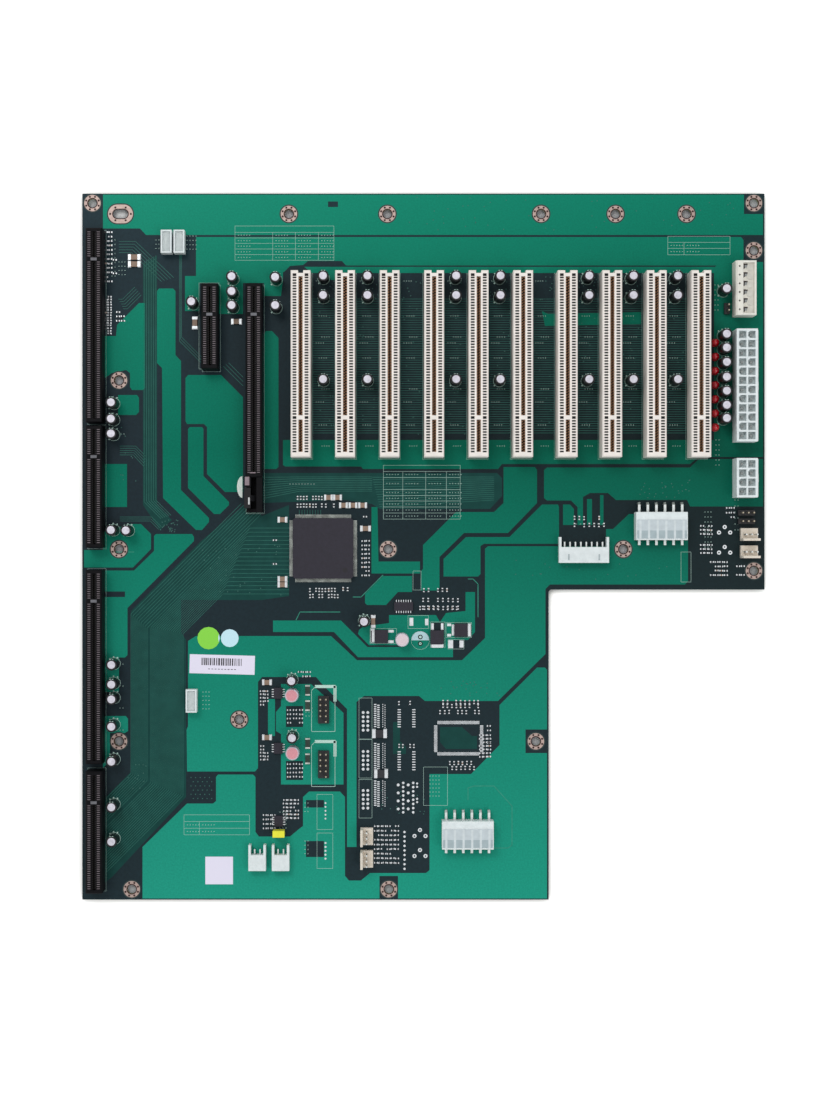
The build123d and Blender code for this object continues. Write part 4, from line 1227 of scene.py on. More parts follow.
class BACKPLANE_OT_finishes(bpy.types.Operator):
    """Give each solid of the frame the finish of the real part."""

    bl_idname = "backplane.finishes"
    bl_label = "Finishes"

    def execute(self, context):
        palette = colours()
        finishes = {
            "board_laminate": shared(*LAMINATE),
            "slot_nylon": moulded_nylon("moulded_ivory_nylon", palette.long_slot, 0.45, 6 * MM),
            "low_slot_nylon": moulded_nylon("moulded_black_nylon", palette.low_slot, 0.5, 4 * MM, 0.0, 0.07),
            "latch_nylon": moulded_nylon("moulded_latch_nylon", shade(palette.low_slot, 1.6), 0.45, 3 * MM),
            "connector_nylon": moulded_nylon("moulded_white_nylon", palette.connector, 0.4, 3 * MM, 0.4),
            "fan_nylon": moulded_nylon("moulded_cream_nylon", palette.fan, 0.45, 2 * MM, 0.5),
            "tinned_pins": plated_metal("tinned_brass_pin", linear("#c6cbca"), 0.4),
            "gilt_pins": plated_metal("gilded_pin", linear("#a39a88"), 0.4),
            "header_plastic": plain("moulded_black_header"),
            "cap_plastic": moulded_nylon("moulded_yellow_cap", palette.cap, 0.35, 1.5 * MM),
            "chip_epoxy": plain("moulded_chip_epoxy"),
            "fuse_epoxy": plain("coated_fuse_laminate"),
            "capacitor_can": shared(*CAN_METAL),
            "polymer_can": shared(*CAN_METAL),
            "led_epoxy": plain("unlit_recess"),
            "label_paper": coated_paper(),
        }
        slots = {entry["node"]: entry["material_slot"] for entry in frame["record"]["subparts"]}
        shaded_tin = plated_metal("tinned_pin_in_a_cell", linear("#858988"), 0.5)
        warm = moulded_nylon("moulded_warm_nylon", linear("#e2e1d8"), 0.4, 3 * MM, 0.4)
        special = dict.fromkeys(CELL_PINS, shaded_tin) | {"upright_power_header": warm}
        for name, node in frame["nodes"].items():
            finish = special.get(name, finishes[slots[name]])
            node.data.materials.clear()
            node.data.materials.append(finish)
        return {"FINISHED"}


def coated_paper():
    """Coated label paper: matt and faintly mottled, green and pale blue where the two round labels are."""
    colour = linear("#dfdcee")
    material, tree, shader = start_material("coated_label_paper", colour, 0.6)
    place = object_place(tree)
    for centre, code in ((GREEN_LABEL, "#80d03a"), (BLUE_LABEL, "#bfe3ee")):
        ends = {0: place, 1: (*from_edges(centre), BOARD_TOP)}
        gap = add_node(tree, "ShaderNodeVectorMath", ends, operation="DISTANCE").outputs["Value"]
        colour = add_mix(tree, add_math(tree, "LESS_THAN", gap, LABEL_RADIUS), colour, linear(code))
    tree.links.new(colour, shader.inputs["Base Color"])
    add_grain(tree, shader, 0.3 * MM, 0.006 * MM)
    return material


# Light of the world on things, glow and half width of the floor, and the lamps: a place, a width and a power
WORLD_LEVEL = 0.68
FLOOR_GLOW = 0.45
FLOOR_REACH = 3.0
LAMPS = [
    ("north_west_lamp", (-0.6, 0.9, 1.9), 0.8, 13.0),
    ("south_east_lamp", (0.8, -0.6, 2.0), 0.9, 6.0),
]


class BACKPLANE_OT_stage(bpy.types.Operator):
    """Pale floor, soft lamps, white world and the camera."""

    bl_idname = "backplane.stage"
    bl_label = "Stage"

    def execute(self, context):
        mesh = bmesh.new()
        bmesh.ops.create_grid(mesh, x_segments=1, y_segments=1, size=FLOOR_REACH)
        floor = add_object("floor", mesh_data("floor", mesh))
        floor.data.materials.append(pale_floor())
        world = bpy.data.worlds.new("white_room")
        context.scene.world = world
        world.use_nodes = True
        tree = world.node_tree
        background = tree.nodes["Background"]
        background.inputs["Color"].default_value = (1, 1, 1, 1)
        strength = add_map(tree, seen_directly(tree), 0.0, 1.0, WORLD_LEVEL, 1.0)
        tree.links.new(strength, background.inputs["Strength"])
        for name, place, size, power in LAMPS:
            lamp = bpy.data.lights.new(name, "AREA")
            lamp.shape = "DISK"
            lamp.size = size
            lamp.energy = power
            source = add_object(name, lamp)
            source.location = place
            source.rotation_euler = (BOARD_MIDDLE - Vector(place)).to_track_quat("-Z", "Y").to_euler()
        axis = spot(*AXIS_PIXEL)
        data = bpy.data.cameras.new("photo_camera")
        data.sensor_fit = "HORIZONTAL"
        data.sensor_width = SENSOR_WIDTH
        data.lens = CAMERA_HEIGHT / (PIXEL * IMAGE_SIZE[0]) * SENSOR_WIDTH
        data.shift_x = (IMAGE_SIZE[0] / 2 - AXIS_PIXEL[0]) / IMAGE_SIZE[0]
        data.shift_y = (AXIS_PIXEL[1] - IMAGE_SIZE[1] / 2) / IMAGE_SIZE[0]
        data.clip_start = 0.01
        camera = add_object("photo_camera", data)
        camera.location = (*axis, BOARD_TOP + CAMERA_HEIGHT)
        context.scene.camera = camera
        context.scene.view_settings.view_transform = "Standard"
        return {"FINISHED"}


def seen_directly(tree):
    """1 for what the camera, a reflection or a clear part sees, and 0 for the light that falls on things."""
    rays = add_node(tree, "ShaderNodeLightPath").outputs
    first = add_math(tree, "MAXIMUM", rays["Is Camera Ray"], rays["Is Glossy Ray"])
    return add_math(tree, "MAXIMUM", first, rays["Is Transmission Ray"])


def pale_floor():
    """Matt white table that glows white to the camera where it lies open; the glow fades near the board, and
    under its holes the colour goes grey, a painted shadow.
    """
    lit = linear("#f4f4f4")
    material, tree, shader = start_material("matt_white_table", lit, 0.9)
    shader.inputs["Emission Color"].default_value = (1, 1, 1, 1)
    clear = add_node(tree, "ShaderNodeAmbientOcclusion", {"Distance": 8 * MM}, samples=8).outputs["AO"]
    # Painted shadow: grey where the board closes the floor in
    painted_shadow_colour = add_mix(tree, add_map(tree, clear, 0.3, 0.5), linear("#adadb4"), lit)
    tree.links.new(painted_shadow_colour, shader.inputs["Base Color"])
    open_floor = add_math(tree, "MULTIPLY", add_map(tree, clear, 0.5, 0.9), seen_directly(tree))
    tree.links.new(add_math(tree, "MULTIPLY", open_floor, FLOOR_GLOW), shader.inputs["Emission Strength"])
    return material


def print_frame(mesh, corner, opposite, width):
    """Printed rectangle between two opposite corners."""
    second = Vector((opposite.x, corner.y))
    fourth = Vector((corner.x, opposite.y))
    add_path(mesh, [corner, second, opposite, fourth, corner], width)


# Turns of the strokes in a row, and the rows of strokes beside a long slot
MARK_TURNS = (0.0, math.pi / 2, 0.0, math.pi / 2, 0.4)
SLOT_MARK_ROWS = (281, 316, 337, 343, 358, 389, 402, 425, 446)


class BACKPLANE_OT_print(bpy.types.Operator):
    """White print on the board: frames, tables and rows of plain marks."""

    bl_idname = "backplane.print"
    bl_label = "Print"

    def execute(self, context):
        width = sizes().print_width
        mesh = bmesh.new()
        for corner, opposite, verticals, rows in TABLES:
            self.add_table(mesh, spot(*corner), spot(*opposite), verticals, rows)
        for corner, opposite in FRAMES:
            print_frame(mesh, spot(*corner), spot(*opposite), width)
        for corner, opposite in PORT_FRAMES:
            self.add_port_frame(mesh, spot(*corner), spot(*opposite))
        add_path(mesh, flat_spots(LATCH_FRAME), width)
        margin = Vector((0.5 * MM, 0.5 * MM))
        for name in LONG_SLOTS + LOW_SLOTS + [LONG_LOW_SLOT]:
            low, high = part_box(name)
            print_frame(mesh, low.xy - margin, high.xy + margin, width * 0.7)
        for start, step, count, marks in MARK_ROWS:
            along = Vector((0, 3 * PIXEL)) if step[0] else Vector((3 * PIXEL, 0))
            for row in range(count):
                place = spot(start[0] + step[0] * row, start[1] + step[1] * row)
                self.add_marks(mesh, place, along, marks)
        self.mark_slots(mesh)
        self.add_half_disc("printed_crescents", "thick_white_ink", *CRESCENT)
        self.add_half_disc("printed_half_disc", "thin_white_ink", *HALF_DISC)
        self.add_coil_print(mesh)
        add_piece("white_print", mesh, [ink("white_screened_ink")])
        return {"FINISHED"}

    def add_marks(self, mesh, place, along, count):
        """Short plain strokes in a row."""
        for index in range(count):
            centre = place + along * index
            box = (*centre, PRINT_LOW + PRINT_THICKNESS / 2)
            add_box(mesh, box, (0.55 * MM, 0.17 * MM, PRINT_THICKNESS), MARK_TURNS[index % len(MARK_TURNS)])

    def add_table(self, mesh, start, end, verticals, rows):
        """Empty table, with plain strokes where it has its entries."""
        width = sizes().print_width
        print_frame(mesh, start, end, width)
        columns = [spot(x, 0).x for x in verticals]
        lines = [spot(0, y).y for y in rows]
        for x in columns:
            add_path(mesh, [Vector((x, lines[0])), Vector((x, end.y))], width)
        for y in lines:
            add_path(mesh, [Vector((start.x, y)), Vector((end.x, y))], width)
        for top, bottom in zip(lines, lines[1:] + [end.y]):
            for left in [start.x] + columns:
                place = Vector((left + 1.6 * MM, (top + bottom) / 2))
                self.add_marks(mesh, place, Vector((1.3 * MM, 0)), 5)

    def add_port_frame(self, mesh, start, end):
        """Frame of a bare header, with a cut corner and a thick line along two sides."""
        cut = 4 * PIXEL
        inner = start + Vector((cut, 0))
        outer = start - Vector((0, cut))
        second = Vector((end.x, start.y))
        add_path(mesh, [inner, second, end.lerp(second, 0.68)], 3 * PIXEL)
        path = [inner, outer, Vector((start.x, end.y)), end, second]
        add_path(mesh, path, sizes().print_width * 2)

    def mark_slots(self, mesh):
        """Rows of plain strokes beside the long slots."""
        for name in LONG_SLOTS[:-1]:
            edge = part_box(name)[1].x
            for order, y in enumerate(SLOT_MARK_ROWS):
                place = Vector((edge + (2.2 + 1.3 * (order % 3)) * MM, spot(0, y).y))
                self.add_marks(mesh, place, Vector((1.1 * MM, 0)), 4)

    def add_half_disc(self, name, finish, x, y, radius, turn, squeeze):
        """Filled half circle that marks which side a lever or coil is on, from an angle on."""
        centre = spot(x, y)
        steps = 14
        reach = radius * PIXEL
        outline = []
        for index in range(steps + 1):
            angle = turn + math.pi * index / steps
            outline.append(centre + Vector((math.cos(angle) * reach * squeeze, math.sin(angle) * reach)))
        mesh = bmesh.new()
        add_plate(mesh, outline, PRINT_LOW, PRINT_LOW + PRINT_THICKNESS)
        add_piece(name, mesh, [ink(finish)])

    def add_coil_print(self, mesh):
        """Circle of a coil that isn't fitted, with its two holes."""
        coil = spot(*HALF_DISC[:2])
        reach = HALF_DISC[2] * PIXEL
        add_ring(mesh, coil, reach - sizes().print_width, reach, PRINT_LOW, PRINT_LOW + PRINT_THICKNESS)
        holes = bmesh.new()
        high = PRINT_LOW + 3 * PRINT_THICKNESS
        lip = 0.62 * MM
        for side in (-1, 1):
            hole = coil + Vector((0, side * reach * 0.36))
            add_ring(mesh, hole, 0.3 * MM, lip, PRINT_LOW, high, 14)
            add_ring(holes, hole, lip, 1.1 * MM, PRINT_LOW, high, 14)
        add_piece("coil_holes", holes, [plain("unlit_recess")])


# Length and width of a small part
CHIP_LENGTH = 1.4 * MM
CHIP_WIDTH = 0.62 * MM
# Share of the places that stay empty, tan parts against black ones, and in pixels the longest tan part
EMPTY_SHARE = 0.1
BODY_WEIGHTS = (1, 9)
LONGEST_TAN_PART = 12


class BACKPLANE_OT_small_parts(bpy.types.Operator):
    """Chip capacitors and resistors: a ceramic body with a tinned cap at each end."""

    bl_idname = "backplane.small_parts"
    bl_label = "Small parts"

    def execute(self, context):
        chance = random.Random(7)
        places = list(LONE_CHIPS)
        for corner, step, counts, axis in CHIP_GRIDS:
            places += [(x, y, axis) for x, y in grid(corner, step, counts)]
        bodies = {"fired_tan_ceramic": bmesh.new(), "glazed_black_resistor": bmesh.new()}
        ends = bmesh.new()
        for x, y, axis in places:
            if chance.random() < EMPTY_SHARE:
                continue
            mesh = bodies[chance.choices(list(bodies), BODY_WEIGHTS)[0]]
            shift = Vector((chance.uniform(-0.1, 0.1), chance.uniform(-0.1, 0.1))) * MM
            self.add_chip(mesh, ends, spot(x, y) + shift, axis, CHIP_LENGTH, CHIP_WIDTH)
        for x, y, length, width, axis in LARGE_CHIPS:
            mesh = bodies["glazed_black_resistor" if length > LONGEST_TAN_PART else "fired_tan_ceramic"]
            self.add_chip(mesh, ends, spot(x, y), axis, length * PIXEL, width * PIXEL)
        for name, mesh in bodies.items():
            add_piece(f"{name}_parts", mesh, [plain(name)])
        add_piece("tinned_ends", ends, [solder()])
        return {"FINISHED"}

    def add_chip(self, body, ends, place, axis, length, width):
        """One small part with its length along X or Y, its two caps and the solder at its ends."""
        height = width * 0.6
        cap = length * 0.22
        foot = 0.2 * MM
        turn = 0.0 if axis == "x" else math.pi / 2
        along = Vector((math.cos(turn), math.sin(turn)))
        low = BOARD_TOP + MASK_THICKNESS
        size = (length - 2 * cap, width * 0.96, height * 0.96)
        add_box(body, (*place, low + height / 2), size, turn)
        for side in (-1, 1):
            centre = place + along * side * (length - cap) / 2
            add_box(ends, (*centre, low + height / 2), (cap, width, height), turn)
            centre = centre + along * side * foot / 2
            add_box(ends, (*centre, low), (cap + foot, width * 1.15, 0.06 * MM), turn)


# Pads beside the regulators and the chips of the power corner: a middle and a size
WIDE_PADS = [
    (372.6, 635.6, 4, 14), (391, 631.2, 5.5, 2.6), (391, 641.6, 5.5, 2.6), (437.3, 645.6, 12.5, 4),
    (432.5, 626.5, 2.5, 6.5), (442.2, 626.5, 2.5, 6.5), (468.8, 630, 4, 13), (411.4, 621.8, 3.8, 8),
    (426.8, 622, 3.5, 6.5), (450.7, 644.2, 4.8, 8), (461.5, 644, 4, 7), (449.2, 624.8, 4, 2.6),
    (449.2, 635.2, 4, 2.6), (453, 630, 2.4, 11),
]
# Close vias in staggered rows: a corner, the steps, and the columns and rows
VIA_GRID = ((191, 777.5), (4.6, 4.2), (5, 6))
VIA_RADIUS = 0.24 * MM
# Square chip that isn't fitted: two corners
EMPTY_CHIP = ((435.7, 722.5), (481.6, 753.8))


class BACKPLANE_OT_pads(bpy.types.Operator):
    """Bare tinned pads, vias and the outlines of places left empty."""

    bl_idname = "backplane.pads"
    bl_label = "Pads and vias"

    def execute(self, context):
        chance = random.Random(11)
        low = BOARD_TOP
        high = PRINT_LOW + PRINT_THICKNESS
        pads = bmesh.new()
        middle = (low + high) / 2
        for corner, step, counts, radius in PAD_GRIDS:
            for x, y in grid(corner, step, counts):
                add_disc(pads, spot(x, y), radius * MM, low, high, 12)
        for corner, opposite, count in FOOTPRINTS:
            self.add_two_rows(pads, spot(*corner), spot(*opposite), count)
        for place in TRIMMER_PADS:
            add_ring(pads, spot(*place), 0.4 * MM, 0.95 * MM, low, high, 14)
        for (x, y), height in MESH_PADS:
            for row in range(int(height / MESH_STEP)):
                for column, (shift, length) in enumerate(MESH_COLUMNS):
                    place = spot(x + shift, y + row * MESH_STEP + column % 2 * 0.8)
                    add_box(pads, (*place, middle), (length * MM, 0.5 * MM, high - low))
        add_pixel_boxes(pads, WIDE_PADS, low, high)
        self.add_square_outline(pads, spot(*EMPTY_CHIP[0]), spot(*EMPTY_CHIP[1]))
        add_piece("tinned_pads", pads, [solder()])
        vias = bmesh.new()
        for corner, opposite, count in VIA_FIELDS:
            start, end = spot(*corner), spot(*opposite)
            for _ in range(count):
                place = Vector((chance.uniform(start.x, end.x), chance.uniform(end.y, start.y)))
                add_disc(vias, place, VIA_RADIUS, low, high, 8)
        corner, step, counts = VIA_GRID
        for row in range(counts[1]):
            for column in range(counts[0]):
                place = spot(corner[0] + step[0] * (column + row % 2 / 2), corner[1] + step[1] * row)
                add_disc(vias, place, VIA_RADIUS, low, high, 8)
        add_piece("masked_vias", vias, [plain("masked_via")])
        return {"FINISHED"}

    def add_two_rows(self, mesh, start, end, count):
        """Two rows of pads for a small chip."""
        for index in range(count):
            y = start.y + (end.y - start.y) * (index + 0.5) / count
            for x in (start.x, end.x):
                add_box(mesh, (x, y, PRINT_LOW), (1.5 * MM, 0.45 * MM, 2 * PRINT_THICKNESS))

    def add_square_outline(self, mesh, start, end):
        """Pads on four sides for a square chip that isn't fitted."""
        pitch = 0.5 * MM
        length, width, thickness = 1.5 * MM, 0.28 * MM, 2 * PRINT_THICKNESS
        for index in range(int((end.x - start.x) / pitch) - 3):
            x = start.x + (index + 2) * pitch
            for y in (start.y, end.y):
                add_box(mesh, (x, y, PRINT_LOW), (width, length, thickness))
        for index in range(int((start.y - end.y) / pitch) - 3):
            y = end.y + (index + 2) * pitch
            for x in (start.x, end.x):
                add_box(mesh, (x, y, PRINT_LOW), (length, width, thickness))


# Width, reach and top of a lead
BRIDGE_LEAD = (0.24 * MM, 1.6 * MM, 0.8 * MM)
CHIP_LEG = (0.4 * MM, 1.0 * MM, 0.7 * MM)
EAST = Vector((1, 0))
NORTH = Vector((0, 1))

# Bright metal on the tabs of the three regulators: a middle and a size
REGULATOR_TABS = [(373.6, 636, 3.2, 11.6), (437.3, 646, 11.6, 3.2), (469, 630, 3.2, 11.6)]


def add_lead(mesh, place, outward, width, reach, top):
    """Bent lead of a chip: a shoulder, a slope and a foot on the board.

    Each has its middle and its length as a share of the reach, its height, and its thickness in mm.
    """
    turn = math.atan2(outward.y, outward.x)
    steps = ((0.15, 0.3, top, 0.14), (0.5, 0.35, top / 2, top / MM), (0.83, 0.4, 0.1 * MM, 0.16))
    for share, length, height, thickness in steps:
        centre = place + outward * reach * share
        size = (reach * length, width, thickness * MM)
        add_box(mesh, (*centre, BOARD_TOP + MASK_THICKNESS + height), size, turn)


class BACKPLANE_OT_chip_leads(bpy.types.Operator):
    """Leads of the chips, tabs' solder and the tinned ends of the fuses."""

    bl_idname = "backplane.chip_leads"
    bl_label = "Chip leads"

    def execute(self, context):
        leads = bmesh.new()
        low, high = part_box("bridge_chip")
        middle = (low.xy + high.xy) / 2
        half = (high.x - low.x) / 2
        for outward in (EAST, -EAST, NORTH, -NORTH):
            along = Vector((-outward.y, outward.x))
            for offset in centred_row(52, 0.5 * MM):
                place = middle + outward * half + along * offset
                add_lead(leads, place, outward, *BRIDGE_LEAD)
        legs = bmesh.new()
        for place in places_of("small_chips"):
            self.add_chip_legs(legs, place)
        add_piece("small_chip_legs", legs, [solder()])
        tin = shared("dulled_tin_lead", plated_metal, linear("#bcc2bc"), 0.4, 0.35, 2.5 * MM)
        for place in places_of("resettable_fuses"):
            for side in (-1, 1):
                centre = (place.x, place.y + side * 2.1 * MM, BOARD_TOP + 0.48 * MM)
                add_box(leads, centre, (2.2 * MM, 0.7 * MM, 0.96 * MM))
        add_piece("chip_leads", leads, [tin])
        dimple = bmesh.new()
        centre = (high.x - 3.8 * MM, low.y + 3.9 * MM)
        add_disc(dimple, centre, 1.2 * MM, high.z - FILM / 2, high.z + FILM / 2, 24)
        add_piece("chip_dimple", dimple, [plain("polished_dimple")])
        tabs = bmesh.new()
        add_pixel_boxes(tabs, REGULATOR_TABS, BOARD_TOP, BOARD_TOP + 0.95 * MM)
        add_piece("regulator_tabs", tabs, [solder()])
        return {"FINISHED"}

    def add_chip_legs(self, mesh, place):
        """Legs along the two long sides of a small chip."""
        half = 2.0 * MM
        in_supply_corner = place.x > BOARD_LOW.x + 120 * MM
        side, count = (NORTH, 7) if in_supply_corner else (EAST, 4)
        for outward in (side, -side):
            along = Vector((-outward.y, outward.x))
            for offset in centred_row(count, 1.1 * MM):
                start = place + outward * half + along * offset
                add_lead(mesh, start, outward, *CHIP_LEG)


# Pins in a row of the six-pin headers, and their pitch
POWER_PINS = (6, 3.96 * MM)
# Bands of painted shade across the roof of a flat header, where it lies over the hollow: a colour, a start
# and an end in mm from the open side
ROOF_SHADE_BANDS = [("#a3b3b8", 0.7, 4.4), ("#c0cbd0", 4.4, 9.4)]
# Corners of the painted shadow beside a pin of the upright header, in mm from the wall and from the pin's
# row
PIN_SHADOW = [(-0.1, 1.3), (2.2, 1.2), (2.0, 0.5), (1.1, 0.2), (1.2, -0.5), (0.2, -1.3), (-0.2, -0.4)]
# Pale floors of painted light in the cells, where light gets in through the walls: how deep below the rim
# each lies, and the thickness of the walls round it, in mm
LIT_CELL_FLOORS = [
    ("atx_power_connector", 3.2, 0.4), ("cpu_power_connector", 3.2, 0.4), ("signal_header_1", 0.9, 0.6),
    ("signal_header_2", 0.9, 0.6), ("signal_header_3", 0.9, 0.6),
]
# Pale spots beside the latch, each a middle and a size: a painted highlight where the top of the wall
# catches the light, and a pale arc at the north end of the bay; then the middle of the painted highlight on
# the latch
PALE_WALL_SPOTS = [(248.7, 481.8, 4.4, 8.4), (254.3, 473.6, 5.6, 1.1)]
LATCH_HIGHLIGHT_SPOT = (250.4, 501.5)


class BACKPLANE_OT_connector_details(bpy.types.Operator):
    """Painted shade and light on the connectors, a bed with lugs in the upright header, pale floors of
    painted light in the cells, and painted highlights at the latch.
    """

    bl_idname = "backplane.connector_details"
    bl_label = "Connector details"

    def execute(self, context):
        shades = bmesh.new()
        self.dress_flat_headers()
        # Painted shade: two dark strips on the top of the panel header
        low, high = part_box("panel_header")
        for side in (-1, 1):
            x = (low.x + high.x) / 2 + side * 7 * MM
            add_box(shades, (x, low.y + 2.6 * MM, high.z + FILM / 2), (0.7 * MM, 2.8 * MM, FILM))
        self.dress_upright_header()
        self.paint_cell_light()
        self.dress_latch()
        add_piece("connector_recesses", shades, [plain("shaded_nylon_recess")])
        return {"FINISHED"}

    def dress_flat_headers(self):
        """Roofs of the flat headers: painted shade in bands over the hollow, and painted light in a pale
        stripe over each pin.
        """
        pieces = [bmesh.new() for _ in ROOF_SHADE_BANDS]
        stripes = bmesh.new()
        for name in ("east_power_header", "south_power_header"):
            low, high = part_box(name)
            middle = (low.x + high.x) / 2
            for mesh, (_, start, end) in zip(pieces, ROOF_SHADE_BANDS):
                centre = (middle, low.y + (start + end) / 2 * MM, high.z)
                add_box(mesh, centre, (high.x - low.x - 0.8 * MM, (end - start) * MM, 2 * FILM))
            for offset in centred_row(*POWER_PINS):
                stripe = (middle + offset, low.y + 4.8 * MM, high.z + FILM)
                add_box(stripes, stripe, (1.0 * MM, 8.4 * MM, FILM))
        for mesh, (code, start, _) in zip(pieces, ROOF_SHADE_BANDS):
            nylon = shared(f"thin_nylon_{start}", moulded_nylon, linear(code), 0.4, 2 * MM)
            add_piece(f"roof_band_{start}", mesh, [nylon])
        # The stripes over the pins are painted light
        pale = shared("nylon_over_pins", moulded_nylon, linear("#cdd7da"), 0.4, 2 * MM)
        add_piece("roof_stripes", stripes, [pale])

    def dress_upright_header(self):
        """Cream bed between the walls of the upright header, with rounded lugs, a painted shadow beside each
        pin and painted shade in the small holes of the west wall.
        """
        low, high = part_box("upright_power_header")
        middle = (low.y + high.y) / 2
        west, east = low.x + 3.4 * MM, high.x - 0.9 * MM
        bed_top = high.z - 1.0 * MM
        depth = 4 * MM
        bed = bmesh.new()
        painted_shades = bmesh.new()
        centre = ((west + east) / 2, middle, bed_top - depth / 2)
        add_box(bed, centre, (east - west, high.y - low.y - 1.8 * MM, depth))
        for offset in centred_row(*POWER_PINS):
            y = middle + offset
            # Painted shade: a dark square on the top of the west wall for each of its small holes
            dot = (low.x + 1.7 * MM, y, high.z + FILM / 2)
            add_box(painted_shades, dot, (0.7 * MM, 0.7 * MM, FILM), math.pi / 4)
            lug = (east - 1.9 * MM, y - 0.6 * MM)
            add_disc(bed, lug, 1.5 * MM, bed_top - 1 * MM, bed_top + 0.3 * MM, 20)
            # Painted shadow beside each pin, a dark film on the bed
            outline = [(west + x * MM, y + step * MM) for x, step in PIN_SHADOW]
            add_plate(painted_shades, outline, bed_top, bed_top + FILM)
        cream = moulded_nylon("moulded_cream_bed", linear("#e2dfd3"), 0.45, 2 * MM, 0.5)
        add_piece("upright_header_bed", bed, [cream])
        add_piece("upright_header_painted_shades", painted_shades, [plain("shaded_notch")])

    def paint_cell_light(self):
        """Pale plates inside the cells of the upright connectors: painted light in place of the deep shade,
        where light gets in through the walls.
        """
        lit_floors = bmesh.new()
        for name, depth, wall in LIT_CELL_FLOORS:
            low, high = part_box(name)
            size = (high.x - low.x - 2 * wall * MM, high.y - low.y - 2 * wall * MM, 1 * MM)
            top = high.z - depth * MM
            add_box(lit_floors, ((low.x + high.x) / 2, (low.y + high.y) / 2, top - size[2] / 2), size)
        lit = moulded_nylon("lit_white_nylon", linear("#c4cdcd"), 0.5, 1.5 * MM, 0.5)
        add_piece("cell_lit_floors", lit_floors, [lit])

    def dress_latch(self):
        """Pale spots on the wall beside the latch, the larger a painted highlight on the lit top of the
        wall, and a painted highlight along the latch's edge.
        """
        wall_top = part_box(LONG_LOW_SLOT)[1].z
        # Painted highlight on the lit top of the wall, and a pale arc at the north end of the bay
        worn = bmesh.new()
        add_pixel_boxes(worn, PALE_WALL_SPOTS, wall_top - FILM, wall_top + FILM)
        add_piece("pale_wall_spots", worn, [plain("scuffed_nylon")])
        # Painted highlight along the latch's edge
        edge = bmesh.new()
        place = spot(*LATCH_HIGHLIGHT_SPOT)
        add_box(edge, (*place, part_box(LATCH)[1].z), (0.7 * MM, 3.2 * MM, 2 * FILM))
        add_piece("latch_edge_highlight", edge, [plain("polished_latch_edge")], LATCH_BODY)


# The long label: its middle from the edges, half the length of its bars' row, and its thickness
LABEL_MIDDLE = (64.8, 108.9)
LABEL_HALF = 9.5 * MM
LABEL_THICKNESS = 0.1 * MM


class BACKPLANE_OT_label_print(bpy.types.Operator):
    """Plain bars on the long label."""

    bl_idname = "backplane.label_print"
    bl_label = "Label print"

    def execute(self, context):
        chance = random.Random(3)
        mesh = bmesh.new()
        start = from_edges(LABEL_MIDDLE)
        turn = math.radians(-1.5)
        along = Vector((math.cos(turn), math.sin(turn)))
        across = Vector((-along.y, along.x))
        height = BOARD_TOP + LABEL_THICKNESS + FILM / 2
        reach = -LABEL_HALF
        while reach < LABEL_HALF:
            width = chance.choice((0.25, 0.4, 0.6)) * MM
            centre = start + along * reach + across * 1.2 * MM
            add_box(mesh, (*centre, height), (width, 3.4 * MM, FILM), turn)
            reach = reach + width + chance.choice((0.3, 0.5)) * MM
        for offset in centred_row(9, 1.5 * MM):
            centre = start + along * offset - across * 2.2 * MM
            add_box(mesh, (*centre, height), (0.9 * MM, 0.3 * MM, FILM), turn)
        add_piece("label_bars", mesh, [ink("black_label_ink")])
        return {"FINISHED"}


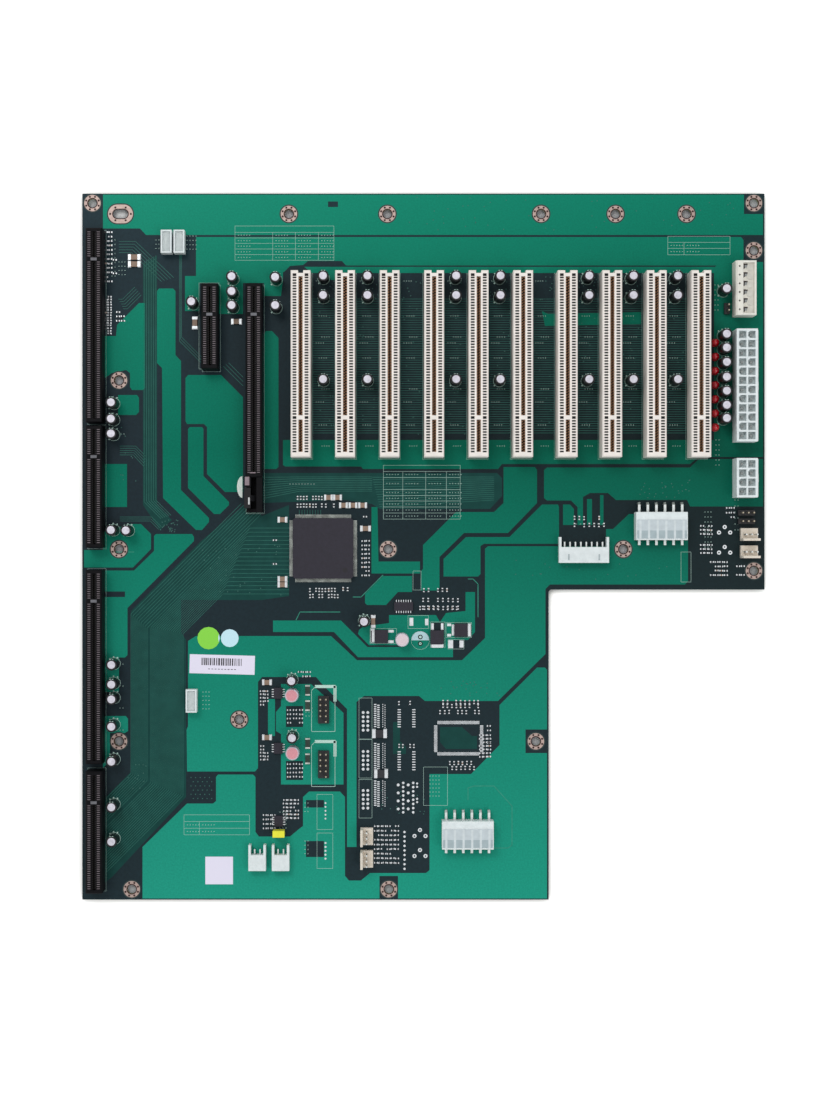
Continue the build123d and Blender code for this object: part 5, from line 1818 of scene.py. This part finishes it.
class BACKPLANE_OT_underside(bpy.types.Operator):
    """Soldered tails of the slots and small headers below the board."""

    bl_idname = "backplane.underside"
    bl_label = "Underside"

    def execute(self, context):
        mesh = bmesh.new()
        for name in LONG_SLOTS:
            low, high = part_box(name)
            north, south = slot_rows(low, high, sizes().long_pitch, *LONG_ROWS)
            middle = (low.x + high.x) / 2
            for y in north + south:
                for side in (-1, 1):
                    self.add_tail(mesh, Vector((middle + side * 2.5 * MM, y)), 0.9 * MM)
        for low, high in low_slot_boxes():
            north, south = slot_rows(low, high, sizes().low_pitch, *LOW_ROWS)
            middle = (low.x + high.x) / 2
            for order, y in enumerate(north + south):
                reach = (1.25 if order % 2 else 2.25) * MM
                for side in (-1, 1):
                    self.add_tail(mesh, Vector((middle + side * reach, y)), 0.8 * MM)
        for name in ("header_pins", "signal_header_pins", "fan_header_pins"):
            for place in places_of(name):
                self.add_tail(mesh, place, 1.1 * MM)
        for place in places_of("electrolytic_capacitors") + places_of("status_leds"):
            for side in (-1, 1):
                self.add_tail(mesh, place + Vector((side * 1.0 * MM, 0)), 1.0 * MM)
        add_piece("soldered_tails", mesh, [solder()])
        return {"FINISHED"}

    def add_tail(self, mesh, place, length):
        """Cone of solder round the end of a pin."""
        low = BOARD_LOW.z - length
        matrix = Matrix.Translation((*place, (low + BOARD_LOW.z) / 2))
        bmesh.ops.create_cone(
            mesh, cap_ends=True, segments=6, radius1=0.22 * MM, radius2=0.5 * MM, depth=length,
            matrix=matrix,
        )


class BACKPLANE_PT_sidebar(bpy.types.Panel):
    """Buttons for each group of pieces, with the sizes and colours they use."""

    bl_idname = "BACKPLANE_PT_sidebar"
    bl_label = "Backplane"
    bl_space_type = "VIEW_3D"
    bl_region_type = "UI"
    bl_category = "Backplane"

    def draw(self, context):
        column = self.layout.column()
        for operator in OPERATORS:
            column.operator(operator.bl_idname)
        for group in (context.scene.backplane_sizes, context.scene.backplane_colours):
            for key in group.bl_rna.properties.keys():
                if key not in ("name", "rna_type"):
                    column.prop(group, key)


OPERATORS = [
    BACKPLANE_OT_finishes, BACKPLANE_OT_board_face, BACKPLANE_OT_traces, BACKPLANE_OT_screw_rings,
    BACKPLANE_OT_long_slot_contacts, BACKPLANE_OT_low_slot_contacts, BACKPLANE_OT_capacitors,
    BACKPLANE_OT_polymer_capacitors, BACKPLANE_OT_status_lights, BACKPLANE_OT_print,
    BACKPLANE_OT_small_parts, BACKPLANE_OT_pads, BACKPLANE_OT_chip_leads, BACKPLANE_OT_connector_details,
    BACKPLANE_OT_label_print, BACKPLANE_OT_underside, BACKPLANE_OT_stage,
]
CLASSES = [BackplaneSizes, BackplaneColours, *OPERATORS, BACKPLANE_PT_sidebar]


def register():
    for part in CLASSES:
        bpy.utils.register_class(part)
    bpy.types.Scene.backplane_sizes = bpy.props.PointerProperty(type=BackplaneSizes)
    bpy.types.Scene.backplane_colours = bpy.props.PointerProperty(type=BackplaneColours)


def unregister():
    del bpy.types.Scene.backplane_colours
    del bpy.types.Scene.backplane_sizes
    for part in reversed(CLASSES):
        bpy.utils.unregister_class(part)


def main():
    """Make every piece in order."""
    register()
    for operator in OPERATORS:
        group, name = operator.bl_idname.split(".")
        getattr(getattr(bpy.ops, group), name)()


if __name__ == "__main__":
    main()
